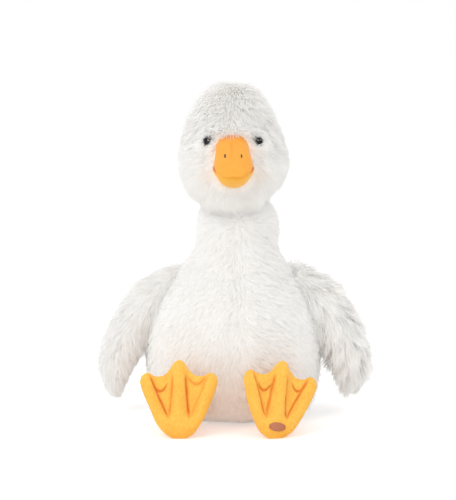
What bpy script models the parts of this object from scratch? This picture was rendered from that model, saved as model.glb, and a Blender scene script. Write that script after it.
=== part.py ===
"""A seated plush goose, in metres, with +Z up and the floor at z = 0.

The goose faces -Y. Left and right are its own, so its left side is at +X.
Each furry solid is drawn to the outer face of its pile, and the torso rests on its flat seat at the origin.
"""

import math
from collections import namedtuple

import bmesh
import bpy
from mathutils import Matrix, Vector

# Clearance between neighbouring pieces, and the fineness of the meshes
GAP = 0.0003
TORSO_SIDES = 36
HEAD_SIDES = 32
LIMB_SIDES = 18
BILL_SIDES = 20
SHARP_ANGLE = 40.0

# Torso and neck, one sewn skin: sections from the seat upwards, each a rise above the one below it
Section = namedtuple("Section", "rise width depth aside forward")
SEAT = Section(rise=0.0, width=0.108, depth=0.100, aside=0.0, forward=0.0)
HIPS = Section(rise=0.014, width=0.155, depth=0.146, aside=0.0, forward=0.001)
BELLY = Section(rise=0.052, width=0.175, depth=0.166, aside=0.0, forward=0.003)
CHEST = Section(rise=0.048, width=0.156, depth=0.140, aside=0.001, forward=0.005)
SHOULDERS = Section(rise=0.034, width=0.108, depth=0.102, aside=0.002, forward=0.006)
NECK_BASE = Section(rise=0.023, width=0.081, depth=0.080, aside=0.003, forward=0.007)
NECK = Section(rise=0.018, width=0.077, depth=0.075, aside=0.004, forward=0.009)
NECK_TOP = Section(rise=0.015, width=0.062, depth=0.060, aside=0.004, forward=0.012)
NECK_END = Section(rise=0.009, width=0.034, depth=0.032, aside=0.003, forward=0.013)
TORSO = (SEAT, HIPS, BELLY, CHEST, SHOULDERS, NECK_BASE, NECK, NECK_TOP, NECK_END)
TORSO_RINGS = 25
TORSO_RING_SPREAD = 0.045
TORSO_ROUNDNESS = 2.15
SEAM_DENT = 0.0022
SEAM_REACH = 0.16

# Head: an egg with full cheeks below and a narrow crown
HEAD_WIDTH = 0.1035
HEAD_DEPTH = 0.100
HEAD_HEIGHT = 0.1205
HEAD_TAPER = 0.17
CHEEK_FULLNESS = 0.68
CHEEK_FADE = (-0.6, 0.4)
HEAD_ROUNDNESS = 2.0
HEAD_OVERLAP = 0.003
HEAD_FORWARD = 0.015
CROWN_BACK = 0.004
CROWN_ASIDE = -0.003
CROWN_SHIFT = (-0.4, 1.0)
HEAD_RINGS = 18

# Bill: a wedge of two stuffed halves that meet along the mouth line
BILL_WIDTH = 0.0375
BILL_ROOT_WIDTH = 0.031
BILL_RISE = 0.029
BILL_REACH = 0.039
BILL_SINK = 0.012
BILL_WIDEST = 0.5
BILL_ROUNDNESS = 3.0
BILL_TIP_ROUNDNESS = 2.3
BILL_TOP_CURVE = 0.75
BILL_LAST_RING = 0.988
MOUTH_HEIGHT = 0.0425
MOUTH_DROOP = 0.0093
MOUTH_PIVOT = 0.25
BILL_LIP = 0.003
BILL_LIP_CURVE = 0.5
LOWER_BILL_WIDTH = 0.0335
LOWER_BILL_DROP = 0.0205
LOWER_BILL_REACH = 0.031
LOWER_BILL_ROUNDNESS = 2.1
LOWER_BILL_CURVE = (2.2, 0.6)
BILL_RINGS = 10

# Nostrils: two short stitches of black thread
NOSTRIL_SPACING = 0.0156
NOSTRIL_LENGTH = 0.0034
NOSTRIL_THICKNESS = 0.0012
NOSTRIL_PLACE = 0.58
NOSTRIL_SPAN = 0.05
NOSTRIL_SIDES = 10
NOSTRIL_RINGS = 8

# Eyes: moulded domes with a shank, each held by a lock washer inside the head
EYE_DIAMETER = 0.012
EYE_DOME = 0.0045
EYE_FLANGE = 0.0012
EYE_STANDS_PROUD = 0.0034
EYE_SPACING = 0.0475
EYE_HEIGHT = 0.0658
SHANK_DIAMETER = 0.0048
SHANK_LENGTH = 0.0150
SHANK_END_SHARE = 0.7
SHANK_END_SLOPE = 0.6
WASHER_DIAMETER = 0.0140
WASHER_THICKNESS = 0.0016
WASHER_DEPTH = 0.0080
EYE_SIDES = 16
EYE_DOME_RINGS = 5

# Wings: long pads that hang from the shoulders, each section measured out from the torso's side
# at the root, and down from the shoulders
WingSection = namedtuple("WingSection", "drop out chord thickness")
WING_ROOT = WingSection(drop=0.010, out=-0.020, chord=0.044, thickness=0.030)
WING_SHOULDER = WingSection(drop=0.028, out=0.0190, chord=0.060, thickness=0.043)
WING_MIDDLE = WingSection(drop=0.064, out=0.0440, chord=0.066, thickness=0.039)
WING_LOWER = WingSection(drop=0.092, out=0.0565, chord=0.063, thickness=0.034)
WING_END = WingSection(drop=0.113, out=0.0590, chord=0.056, thickness=0.031)
WING_TIP = WingSection(drop=0.133, out=0.0565, chord=0.050, thickness=0.028)
WING = (WING_ROOT, WING_SHOULDER, WING_MIDDLE, WING_LOWER, WING_END, WING_TIP)
WING_TURN = 75.0
WING_BACK = 0.004
WING_RINGS = 14
WING_ROUNDNESS = 2.2
WING_TIP_CURVE = (5.0, 0.5)
WING_LAST_RING = 0.985
WING_SPINE_STEP = 0.03

# Tail: a short tuft low on the back
TAIL_LENGTH = 0.036
TAIL_WIDTH = 0.050
TAIL_THICKNESS = 0.034
TAIL_HEIGHT = 0.040
TAIL_LIFT = 0.014
TAIL_SINK = 0.012
TAIL_RINGS = 9
TAIL_ROUNDNESS = 2.0
TAIL_TIP_CURVE = (2.4, 0.6)
TAIL_LIFT_CURVE = 1.5
TAIL_LAST_RING = 0.99

# Feet: webbed, with three padded toes, standing on their heels with the soles forward
FOOT_HALF_WIDTH = 0.0368
FOOT_SIDE_HEIGHT = 0.0535
FOOT_FLARE = 0.45
HEEL_HALF_WIDTH = 0.0057
WEB_HEIGHT = 0.0597
TOE_PEAK = 0.0148
TOE_PEAK_REACH = 0.0175
SIDE_TOE_RISE = 0.0026
SIDE_TOE_PLACE = 0.82
SIDE_TOE_BLEND = 0.25
MIDDLE_TOE_RADIUS = 0.0080
SIDE_TOE_RADIUS = 0.0066
SIDE_TOE_INSET = 1.08
HEEL_PAD = 0.0082
HEEL_PAD_HEIGHT = 0.031
HEEL_PAD_FADE = 0.55
HEEL_ROUND = (-0.02, 0.16)
WEB_THICKNESS = 0.0043
EDGE_THICKNESS = 0.0016
EDGE_ROUND = 0.16
FOOT_COLUMNS = 24
FOOT_ROWS = 12
HEEL_AHEAD = 0.037
FOOT_LEAN = 9.0
FOOT_SINK = 0.0006
RIGHT_HEEL_ASIDE = 0.0510
LEFT_HEEL_ASIDE = 0.0375
LEFT_FOOT_ROLL = 10.5
LEFT_FOOT_YAW = 17.0
RIGHT_FOOT_ROLL = 0.0
RIGHT_FOOT_YAW = 0.0

# Plain stitched oval on the left sole
PATCH_WIDTH = 0.0165
PATCH_HEIGHT = 0.0085
PATCH_THICKNESS = 0.0009
PATCH_PLACE = 0.0120
PATCH_RINGS = 4
PATCH_SPOKES = 20

# Legs: short stuffed tubes from the torso to the backs of the feet
LEG_DIAMETER = 0.027
LEG_HEIGHT = 0.026
LEG_SINK = 0.030
LEG_SWELL = 0.06
LEG_RINGS = (0.0, 0.35, 0.6, 0.8, 1.0)

# Colours, from the photograph
WHITE_PILE = (0.88, 0.87, 0.84)
ORANGE_VELOUR = (0.93, 0.43, 0.08)
BLACK_PLASTIC = (0.012, 0.012, 0.014)
CLEAR_WHITE_PLASTIC = (0.75, 0.75, 0.73)
BLACK_THREAD = (0.02, 0.018, 0.016)
BROWN_THREAD = (0.55, 0.24, 0.12)


def clear_scene():
    """Removes whatever the file holds, so that the script can be run again."""
    for old in list(bpy.data.objects):
        bpy.data.objects.remove(old)


def make_material(name, colour, roughness):
    """A Principled material of one colour."""
    material = bpy.data.materials.new(name)
    material.use_nodes = True
    shader = material.node_tree.nodes["Principled BSDF"]
    shader.inputs["Base Color"].default_value = (*colour, 1.0)
    shader.inputs["Roughness"].default_value = roughness
    shader.inputs["Metallic"].default_value = 0.0
    return material


def add_object(name, mesh_data, material):
    """Links a closed bmesh as a named object with smooth round faces, in triangles that its cutter shares."""
    bmesh.ops.triangulate(mesh_data, faces=mesh_data.faces)
    bmesh.ops.recalc_face_normals(mesh_data, faces=mesh_data.faces)
    mesh = bpy.data.meshes.new(name)
    mesh_data.to_mesh(mesh)
    mesh_data.free()
    mesh.shade_smooth()
    mesh.set_sharp_from_angle(angle=math.radians(SHARP_ANGLE))
    mesh.materials.append(material)
    made = bpy.data.objects.new(name, mesh)
    bpy.context.scene.collection.objects.link(made)
    return made


def grown_cutter(source):
    """A hidden copy of a piece, grown by the clearance, that cuts the piece's neighbours."""
    cutter = source.copy()
    cutter.name = source.name + "_cutter"
    cutter.hide_render = True
    cutter.display_type = "WIRE"
    bpy.context.scene.collection.objects.link(cutter)
    grow = cutter.modifiers.new("grow", "DISPLACE")
    grow.direction = "NORMAL"
    grow.mid_level = 0.0
    grow.strength = GAP
    return cutter


def cut(piece, *cutters):
    """Cuts each cutter out of a piece."""
    for cutter in cutters:
        bite = piece.modifiers.new("cut_by_" + cutter.name, "BOOLEAN")
        bite.operation = "DIFFERENCE"
        bite.solver = "EXACT"
        bite.object = cutter


def loft(name, rings, material):
    """Joins closed rings of equal count in order and caps both ends."""
    shape = bmesh.new()
    loops = [[shape.verts.new(point) for point in ring] for ring in rings]
    for lower, upper in zip(loops, loops[1:]):
        for i in range(len(lower)):
            shape.faces.new((lower[i - 1], lower[i], upper[i], upper[i - 1]))
    shape.faces.new(loops[0])
    shape.faces.new(loops[-1])
    return add_object(name, shape, material)


def smooth_step(low, high, value):
    """0 below low, 1 above high, and a smooth rise between them."""
    share = min(1.0, max(0.0, (value - low) / (high - low)))
    return share * share * (3.0 - 2.0 * share)


def superellipse(angle, half_width, half_depth, roundness):
    """A point of a superellipse; a roundness of 2 is a plain ellipse."""
    power = 2.0 / roundness
    across = math.copysign(abs(math.cos(angle)) ** power, math.cos(angle))
    along = math.copysign(abs(math.sin(angle)) ** power, math.sin(angle))
    return half_width * across, half_depth * along


def torso_heights():
    """The height of each torso section above the floor."""
    heights = []
    total = 0.0
    for section in TORSO:
        total += section.rise
        heights.append(total)
    return heights


def blended(places, sections, at):
    """Every value of the sections at a place among theirs, on a smooth curve through them."""
    last = len(places) - 1
    at = min(places[-1], max(places[0], at))
    upper = next(i for i in range(1, last + 1) if at <= places[i] or i == last)
    lower = upper - 1
    span = places[upper] - places[lower]
    share = (at - places[lower]) / span

    def slope(index, field):
        before, after = max(0, index - 1), min(last, index + 1)
        return (sections[after][field] - sections[before][field]) / (places[after] - places[before])

    values = []
    for field in range(len(sections[0])):
        start, end = sections[lower][field], sections[upper][field]
        leave, arrive = slope(lower, field) * span, slope(upper, field) * span
        cubic = (
            (2 * share**3 - 3 * share**2 + 1) * start
            + (share**3 - 2 * share**2 + share) * leave
            + (3 * share**2 - 2 * share**3) * end
            + (share**3 - share**2) * arrive
        )
        values.append(cubic)
    return type(sections[0])(*values)


def torso_at(height):
    """The torso's section at a height above the floor."""
    return blended(torso_heights(), TORSO, height)


def make_torso(material):
    """The torso and neck: one lofted skin with a flat seat and a sewn dent down the front."""
    top = torso_heights()[-1]
    rings = []
    for step in range(TORSO_RINGS + 1):
        share = step / TORSO_RINGS
        height = top * (share - TORSO_RING_SPREAD * math.sin(2.0 * math.pi * share))
        section = torso_at(height)
        ring = []
        for side in range(TORSO_SIDES):
            angle = 2.0 * math.pi * side / TORSO_SIDES
            x, y = superellipse(angle, section.width / 2, section.depth / 2, TORSO_ROUNDNESS)
            from_front = (angle - 1.5 * math.pi) / SEAM_REACH
            dent = SEAM_DENT * math.exp(-(from_front**2)) * smooth_step(0.0, BELLY.rise, height)
            ring.append(Vector((section.aside + x, y + dent - section.forward, height)))
        rings.append(ring)
    return loft("torso", rings, material)


def head_bottom():
    """The height of the head's lowest point, a little below the end of the neck."""
    return torso_heights()[-1] - HEAD_OVERLAP


def head_at(height):
    """Half width, half depth and centre of the head at a height above its lowest point."""
    rise = min(1.0, max(-1.0, 2.0 * height / HEAD_HEIGHT - 1.0))
    round_share = math.sqrt(max(0.0, 1.0 - rise * rise))
    fullness = CHEEK_FULLNESS + (1.0 - CHEEK_FULLNESS) * smooth_step(*CHEEK_FADE, rise)
    spread = round_share**fullness * (1.0 - HEAD_TAPER * rise)
    crown = smooth_step(*CROWN_SHIFT, rise)
    centre_y = -NECK_TOP.forward - HEAD_FORWARD + (HEAD_FORWARD + CROWN_BACK) * crown
    centre = Vector((CROWN_ASIDE * crown, centre_y, head_bottom() + height))
    return HEAD_WIDTH / 2 * spread, HEAD_DEPTH / 2 * spread, centre


def face_point(x, height):
    """A point on the front of the head, and the outward direction there."""
    half_width, half_depth, centre = head_at(height)
    across = x - centre.x
    reach = half_depth * math.sqrt(max(0.0, 1.0 - (across / half_width) ** 2))
    point = Vector((x, centre.y - reach, centre.z))
    outward = Vector((across / half_width**2, -reach / half_depth**2, 0.0)).normalized()
    return point, outward


def make_head(material):
    """The head: an egg of elliptical rings."""
    rings = []
    for step in range(1, HEAD_RINGS):
        lift = math.pi * (step / HEAD_RINGS)
        height = HEAD_HEIGHT * 0.5 * (1.0 - math.cos(lift))
        half_width, half_depth, centre = head_at(height)
        ring = []
        for side in range(HEAD_SIDES):
            angle = 2.0 * math.pi * side / HEAD_SIDES
            x, y = superellipse(angle, half_width, half_depth, HEAD_ROUNDNESS)
            ring.append(centre + Vector((x, y, 0.0)))
        rings.append(ring)
    return loft("head", rings, material)


def mouth_line(share):
    """The point of the mouth line at a share of the bill's length, from its sunk root to its tip."""
    face, _ = face_point(0.0, MOUTH_HEIGHT)
    y = face.y + BILL_SINK - share * (BILL_SINK + BILL_REACH)
    return Vector((0.0, y, face.z + MOUTH_DROOP * (MOUTH_PIVOT - share)))


def bill_half_width(share, width, root_width):
    """Half the width of a bill half, widest at BILL_WIDEST and round at the tip."""
    if share < BILL_WIDEST:
        swell = smooth_step(0.0, BILL_WIDEST, share)
        return (root_width + (width - root_width) * swell) / 2
    beyond = (share - BILL_WIDEST) / (1.0 - BILL_WIDEST)
    return width / 2 * max(0.0, 1.0 - beyond**BILL_TIP_ROUNDNESS) ** (1 / BILL_TIP_ROUNDNESS)


def bill_ring(centre, half_width, above, below, roundness):
    """A closed ring across the bill, with its own height above and below the mouth line."""
    ring = []
    for side in range(BILL_SIDES):
        angle = 2.0 * math.pi * side / BILL_SIDES
        x, z = superellipse(angle, half_width, above if math.sin(angle) > 0 else below, roundness)
        ring.append(centre + Vector((x, 0.0, z)))
    return ring


def bill_shares():
    """Places along a bill half, closer together towards the round tip."""
    return [BILL_LAST_RING * math.sin(0.5 * math.pi * step / BILL_RINGS) for step in range(BILL_RINGS + 1)]


def upper_bill_rise(share):
    """The height of the upper bill above the mouth line."""
    return BILL_RISE * (1.0 - share) ** BILL_TOP_CURVE


def make_upper_bill(material):
    """The upper half of the bill, sloping from the forehead to a flat round tip."""
    rings = []
    for share in bill_shares():
        half_width = bill_half_width(share, BILL_WIDTH, BILL_ROOT_WIDTH)
        lip = BILL_LIP * (1.0 - share) ** BILL_LIP_CURVE
        rings.append(bill_ring(mouth_line(share), half_width, upper_bill_rise(share), lip, BILL_ROUNDNESS))
    return loft("upper_bill", rings, material)


def make_lower_bill(material):
    """The lower half of the bill: a shorter bowl under the upper one."""
    length = (BILL_SINK + LOWER_BILL_REACH) / (BILL_SINK + BILL_REACH)
    inner_curve, outer_curve = LOWER_BILL_CURVE
    rings = []
    for share in bill_shares():
        half_width = bill_half_width(share, LOWER_BILL_WIDTH, BILL_ROOT_WIDTH)
        drop = LOWER_BILL_DROP * (1.0 - share**inner_curve) ** outer_curve
        centre = mouth_line(share * length)
        rings.append(bill_ring(centre, half_width, BILL_LIP, drop, LOWER_BILL_ROUNDNESS))
    return loft("lower_bill", rings, material)


def make_nostril(name, side, material):
    """One stitch of thread, half sunk in the top of the upper bill."""
    half_width = bill_half_width(NOSTRIL_PLACE, BILL_WIDTH, BILL_ROOT_WIDTH)
    across = NOSTRIL_SPACING / 2
    shoulder = (1.0 - (across / half_width) ** BILL_ROUNDNESS) ** (1.0 / BILL_ROUNDNESS)
    lift = upper_bill_rise(NOSTRIL_PLACE) * shoulder
    centre = mouth_line(NOSTRIL_PLACE) + Vector((side * across, 0.0, lift))
    ahead = NOSTRIL_PLACE + NOSTRIL_SPAN
    slope = mouth_line(ahead) - mouth_line(NOSTRIL_PLACE)
    slope.z += upper_bill_rise(ahead) - upper_bill_rise(NOSTRIL_PLACE)
    turn = slope.to_track_quat("Z", "Y").to_matrix().to_4x4()
    stitch = bmesh.new()
    bmesh.ops.create_uvsphere(stitch, u_segments=NOSTRIL_SIDES, v_segments=NOSTRIL_RINGS, radius=0.5)
    size = Matrix.Diagonal((NOSTRIL_THICKNESS, NOSTRIL_THICKNESS, NOSTRIL_LENGTH, 1.0))
    bmesh.ops.transform(stitch, matrix=Matrix.Translation(centre) @ turn @ size, verts=stitch.verts)
    return add_object(name, stitch, material)


def eye_frame(side):
    """Turns +Z to the eye's outward direction and puts the origin on the back of its flange."""
    point, outward = face_point(side * EYE_SPACING / 2, EYE_HEIGHT)
    seat = point + outward * (EYE_STANDS_PROUD - EYE_DOME - EYE_FLANGE)
    return Matrix.Translation(seat) @ outward.to_track_quat("Z", "Y").to_matrix().to_4x4()


def turned_shape(profile, sides):
    """A solid turned about Z from (radius, height) points that start and end on the axis."""
    shape = bmesh.new()
    corners = [shape.verts.new((radius, 0.0, height)) for radius, height in profile]
    edges = [shape.edges.new(pair) for pair in zip(corners, corners[1:])]
    bmesh.ops.spin(
        shape,
        geom=corners + edges,
        cent=(0, 0, 0),
        axis=(0, 0, 1),
        angle=2.0 * math.pi,
        steps=sides,
        use_merge=True,
    )
    bmesh.ops.remove_doubles(shape, verts=shape.verts, dist=1e-6)
    return shape


def make_eye(name, side, material):
    """A domed eye with a flange and a round shank, turned about its axis."""
    radius = EYE_DIAMETER / 2
    shank = SHANK_DIAMETER / 2
    profile = [(0.0, -SHANK_LENGTH), (shank * SHANK_END_SHARE, -SHANK_LENGTH)]
    profile += [(shank, -SHANK_LENGTH + shank * SHANK_END_SLOPE), (shank, 0.0)]
    profile += [(radius, 0.0), (radius, EYE_FLANGE)]
    for step in range(1, EYE_DOME_RINGS):
        angle = 0.5 * math.pi * step / EYE_DOME_RINGS
        profile.append((radius * math.cos(angle), EYE_FLANGE + EYE_DOME * math.sin(angle)))
    profile.append((0.0, EYE_FLANGE + EYE_DOME))
    shape = turned_shape(profile, EYE_SIDES)
    bmesh.ops.transform(shape, matrix=eye_frame(side), verts=shape.verts)
    return add_object(name, shape, material)


def make_washer(name, side, material):
    """The lock washer that grips the eye's shank inside the head."""
    shape = bmesh.new()
    inner = SHANK_DIAMETER / 2 + GAP
    outer = WASHER_DIAMETER / 2
    corners = []
    for radius, height in ((inner, 0.0), (outer, 0.0), (outer, WASHER_THICKNESS), (inner, WASHER_THICKNESS)):
        corners.append(shape.verts.new((radius, 0.0, height - WASHER_DEPTH)))
    edges = [shape.edges.new((corners[i - 1], corners[i])) for i in range(len(corners))]
    bmesh.ops.spin(
        shape,
        geom=corners + edges,
        cent=(0, 0, 0),
        axis=(0, 0, 1),
        angle=2.0 * math.pi,
        steps=EYE_SIDES,
        use_merge=True,
    )
    bmesh.ops.remove_doubles(shape, verts=shape.verts, dist=1e-6)
    bmesh.ops.transform(shape, matrix=eye_frame(side), verts=shape.verts)
    return add_object(name, shape, material)


def wing_section(share):
    """The wing's section at a share of the way from its root to its tip."""
    places = [step / (len(WING) - 1) for step in range(len(WING))]
    return blended(places, WING, share)


def wing_spine(share, side):
    """The middle line of a wing, from its sewn root inside the shoulder to its tip."""
    shoulder_height = torso_heights()[TORSO.index(SHOULDERS)]
    root = torso_at(shoulder_height - WING_ROOT.drop)
    section = wing_section(share)
    x = root.aside * (1.0 - share) + side * (root.width / 2 + section.out)
    return Vector((x, WING_BACK - root.forward, shoulder_height - section.drop))


def make_wing(name, side, material):
    """A wing: a flat pad that curves out and down from the shoulder to a round tip."""
    turn = math.radians(WING_TURN)
    inner_curve, outer_curve = WING_TIP_CURVE
    flat_way = Vector((side * math.cos(turn), math.sin(turn), 0.0))
    rings = []
    for step in range(WING_RINGS + 1):
        share = WING_LAST_RING * math.sin(0.5 * math.pi * step / WING_RINGS)
        ahead, behind = min(1.0, share + WING_SPINE_STEP), max(0.0, share - WING_SPINE_STEP)
        along = (wing_spine(ahead, side) - wing_spine(behind, side)).normalized()
        chord_way = (flat_way - along * flat_way.dot(along)).normalized()
        thin_way = along.cross(chord_way)
        section = wing_section(share)
        fade = max(0.0, 1.0 - share**inner_curve) ** outer_curve
        half_chord, half_thickness = section.chord / 2 * fade, section.thickness / 2 * fade
        ring = []
        for corner in range(LIMB_SIDES):
            angle = 2.0 * math.pi * corner / LIMB_SIDES
            across, through = superellipse(angle, half_chord, half_thickness, WING_ROUNDNESS)
            ring.append(wing_spine(share, side) + chord_way * across + thin_way * through)
        rings.append(ring)
    return loft(name, rings, material)


def make_tail(material):
    """The tail: a short tapered tuft that points back and a little up."""
    section = torso_at(TAIL_HEIGHT)
    root = Vector((0.0, section.depth / 2 - section.forward - TAIL_SINK, TAIL_HEIGHT))
    inner_curve, outer_curve = TAIL_TIP_CURVE
    rings = []
    for step in range(TAIL_RINGS + 1):
        share = TAIL_LAST_RING * math.sin(0.5 * math.pi * step / TAIL_RINGS)
        fade = (1.0 - share**inner_curve) ** outer_curve
        centre = root + Vector((0.0, share * (TAIL_LENGTH + TAIL_SINK), TAIL_LIFT * share**TAIL_LIFT_CURVE))
        ring = []
        for corner in range(LIMB_SIDES):
            angle = 2.0 * math.pi * corner / LIMB_SIDES
            x, z = superellipse(angle, TAIL_WIDTH / 2 * fade, TAIL_THICKNESS / 2 * fade, TAIL_ROUNDNESS)
            ring.append(centre + Vector((x, 0.0, z)))
        rings.append(ring)
    return loft("tail", rings, material)


def foot_edge(place):
    """The foot's outer edge as (across, up), for a place from -1 at one side toe to 1 at the other."""
    side = math.copysign(1.0, place)
    share = abs(place)
    if share <= SIDE_TOE_PLACE:
        across = share / SIDE_TOE_PLACE * (FOOT_HALF_WIDTH - SIDE_TOE_RADIUS)
        reach = min(1.0, across / TOE_PEAK_REACH)
        up = WEB_HEIGHT + TOE_PEAK * math.cos(0.5 * math.pi * reach) ** 2
        from_toe = min(1.0, (SIDE_TOE_PLACE - share) / SIDE_TOE_BLEND)
        up += SIDE_TOE_RISE * math.cos(0.5 * math.pi * from_toe) ** 2
        return side * across, up
    angle = 0.5 * math.pi * (share - SIDE_TOE_PLACE) / (1.0 - SIDE_TOE_PLACE)
    across = FOOT_HALF_WIDTH - SIDE_TOE_RADIUS * (1.0 - math.sin(angle))
    top = WEB_HEIGHT + SIDE_TOE_RISE
    return side * across, FOOT_SIDE_HEIGHT + (top - FOOT_SIDE_HEIGHT) * math.cos(angle)


def foot_half_width(up):
    """Half the foot's width at a height above the heel."""
    flare = FOOT_HALF_WIDTH * (max(0.0, up) / FOOT_SIDE_HEIGHT) ** FOOT_FLARE
    return math.hypot(HEEL_HALF_WIDTH, flare)


def foot_point(place, rise):
    """(across, up) on the foot for a place across it and a share of the way from heel to edge."""
    edge_across, edge_up = foot_edge(place)
    up = rise * edge_up
    return edge_across * foot_half_width(up) / foot_half_width(edge_up), up


def foot_thickness(place, rise):
    """Half the foot's thickness: three round toes, thin webs, a heel pad and a sewn edge."""
    across, up = foot_point(place, rise)
    half_width = foot_half_width(up)
    middle = max(0.0, 1.0 - (across / MIDDLE_TOE_RADIUS) ** 2) ** 0.5 * MIDDLE_TOE_RADIUS
    toe_line = max(0.0, half_width - SIDE_TOE_RADIUS * SIDE_TOE_INSET)
    side = max(0.0, 1.0 - ((abs(across) - toe_line) / SIDE_TOE_RADIUS) ** 2) ** 0.5 * SIDE_TOE_RADIUS
    pad = HEEL_PAD * max(0.0, 1.0 - (across / half_width) ** 2) ** 0.5
    pad *= 1.0 - smooth_step(HEEL_PAD_FADE * HEEL_PAD_HEIGHT, HEEL_PAD_HEIGHT, up)
    body = max(middle, side, pad, WEB_THICKNESS / 2)
    past = max(0.0, rise - 1.0 + EDGE_ROUND) / EDGE_ROUND
    round_edge = math.sqrt(max(0.0, 1.0 - past * past))
    from_heel = smooth_step(*HEEL_ROUND, rise)
    return EDGE_THICKNESS / 2 + (body - EDGE_THICKNESS / 2) * round_edge * from_heel


def foot_placement(aside, roll, yaw):
    """Stands a foot on its heel: +X across, +Y up the sole and +Z ahead become the goose's own directions."""
    section = torso_at(LEG_HEIGHT)
    heel_y = -section.depth / 2 - section.forward - HEEL_AHEAD
    stand = Matrix.Rotation(math.radians(90.0 - FOOT_LEAN), 4, "X")
    turn = Matrix.Rotation(math.radians(yaw), 4, "Z")
    tip = Matrix.Rotation(math.radians(-roll), 4, "Z")
    return Matrix.Translation((aside, heel_y, -FOOT_SINK)) @ turn @ stand @ tip


def make_foot(name, placement, material):
    """A foot: two puffed faces sewn along the edge, cut flat where the heel meets the floor."""
    shape = bmesh.new()
    faces = []
    for way in (1.0, -1.0):
        grid = []
        for row in range(FOOT_ROWS + 1):
            rise = row / FOOT_ROWS
            line = []
            for column in range(FOOT_COLUMNS + 1):
                place = 2.0 * column / FOOT_COLUMNS - 1.0
                across, up = foot_point(place, rise)
                point = Vector((across, up, way * foot_thickness(place, rise)))
                line.append(shape.verts.new(placement @ point))
            grid.append(line)
        faces.append(grid)
    for grid in faces:
        for low, high in zip(grid, grid[1:]):
            for i in range(FOOT_COLUMNS):
                shape.faces.new((low[i], low[i + 1], high[i + 1], high[i]))
    front, back = faces
    rims = []
    for grid in (front, back):
        left = [line[0] for line in grid]
        right = [line[-1] for line in grid]
        rims.append(left + grid[-1][1:-1] + right[::-1] + grid[0][-2:0:-1])
    for i in range(len(rims[0])):
        shape.faces.new((rims[0][i - 1], rims[0][i], rims[1][i], rims[1][i - 1]))
    return add_object(name, shape, material)


def make_patch(placement, material):
    """A plain oval of satin stitch that lies on the curve of a sole."""
    shape = bmesh.new()
    layers = []
    for lift in (-PATCH_THICKNESS, GAP + PATCH_THICKNESS):
        circles = []
        for ring in range(PATCH_RINGS + 1):
            circle = []
            for spoke in range(PATCH_SPOKES if ring else 1):
                angle = 2.0 * math.pi * spoke / PATCH_SPOKES
                across = PATCH_WIDTH / 2 * ring / PATCH_RINGS * math.cos(angle)
                up = PATCH_PLACE + PATCH_HEIGHT / 2 * ring / PATCH_RINGS * math.sin(angle)
                _, edge_up = foot_edge(0.0)
                height = foot_thickness(across / foot_half_width(up), up / edge_up) + lift
                circle.append(shape.verts.new(placement @ Vector((across, up, height))))
            circles.append(circle)
        layers.append(circles)
    for circles in layers:
        hub = circles[0][0]
        for i in range(PATCH_SPOKES):
            shape.faces.new((hub, circles[1][i - 1], circles[1][i]))
        for inner, outer in zip(circles[1:], circles[2:]):
            for i in range(PATCH_SPOKES):
                shape.faces.new((inner[i - 1], inner[i], outer[i], outer[i - 1]))
    low, high = layers[0][-1], layers[1][-1]
    for i in range(PATCH_SPOKES):
        shape.faces.new((low[i - 1], low[i], high[i], high[i - 1]))
    return add_object("sole_patch", shape, material)


def make_leg(name, aside, placement, material):
    """A leg: a stuffed tube from inside the belly to the middle of the back of its foot."""
    section = torso_at(LEG_HEIGHT)
    sole_way = placement.to_3x3() @ Vector((0.0, 0.0, 1.0))
    end = placement @ Vector((0.0, LEG_HEIGHT, 0.0))
    start = Vector((aside, -section.depth / 2 - section.forward + LEG_SINK, LEG_HEIGHT))
    along = (end - start).normalized()
    across_way = along.cross(Vector((0.0, 0.0, 1.0))).normalized()
    up_way = across_way.cross(along)
    rings = []
    for share in LEG_RINGS:
        radius = LEG_DIAMETER / 2 * (1.0 + LEG_SWELL * math.sin(math.pi * share))
        ring = []
        for corner in range(LIMB_SIDES):
            angle = 2.0 * math.pi * corner / LIMB_SIDES
            offset = (across_way * math.cos(angle) + up_way * math.sin(angle)) * radius
            lean = -along * offset.dot(sole_way) / along.dot(sole_way)
            ring.append(start.lerp(end, share) + offset + lean * share)
        rings.append(ring)
    return loft(name, rings, material)


def make_floor_cutter():
    """A hidden block below the floor, which flattens the heels."""
    shape = bmesh.new()
    bmesh.ops.create_cube(shape, size=1.0)
    bmesh.ops.translate(shape, vec=(0.0, 0.0, -0.5), verts=shape.verts)
    block = add_object("floor_cutter", shape, None)
    block.hide_render = True
    block.display_type = "WIRE"
    return block


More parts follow.
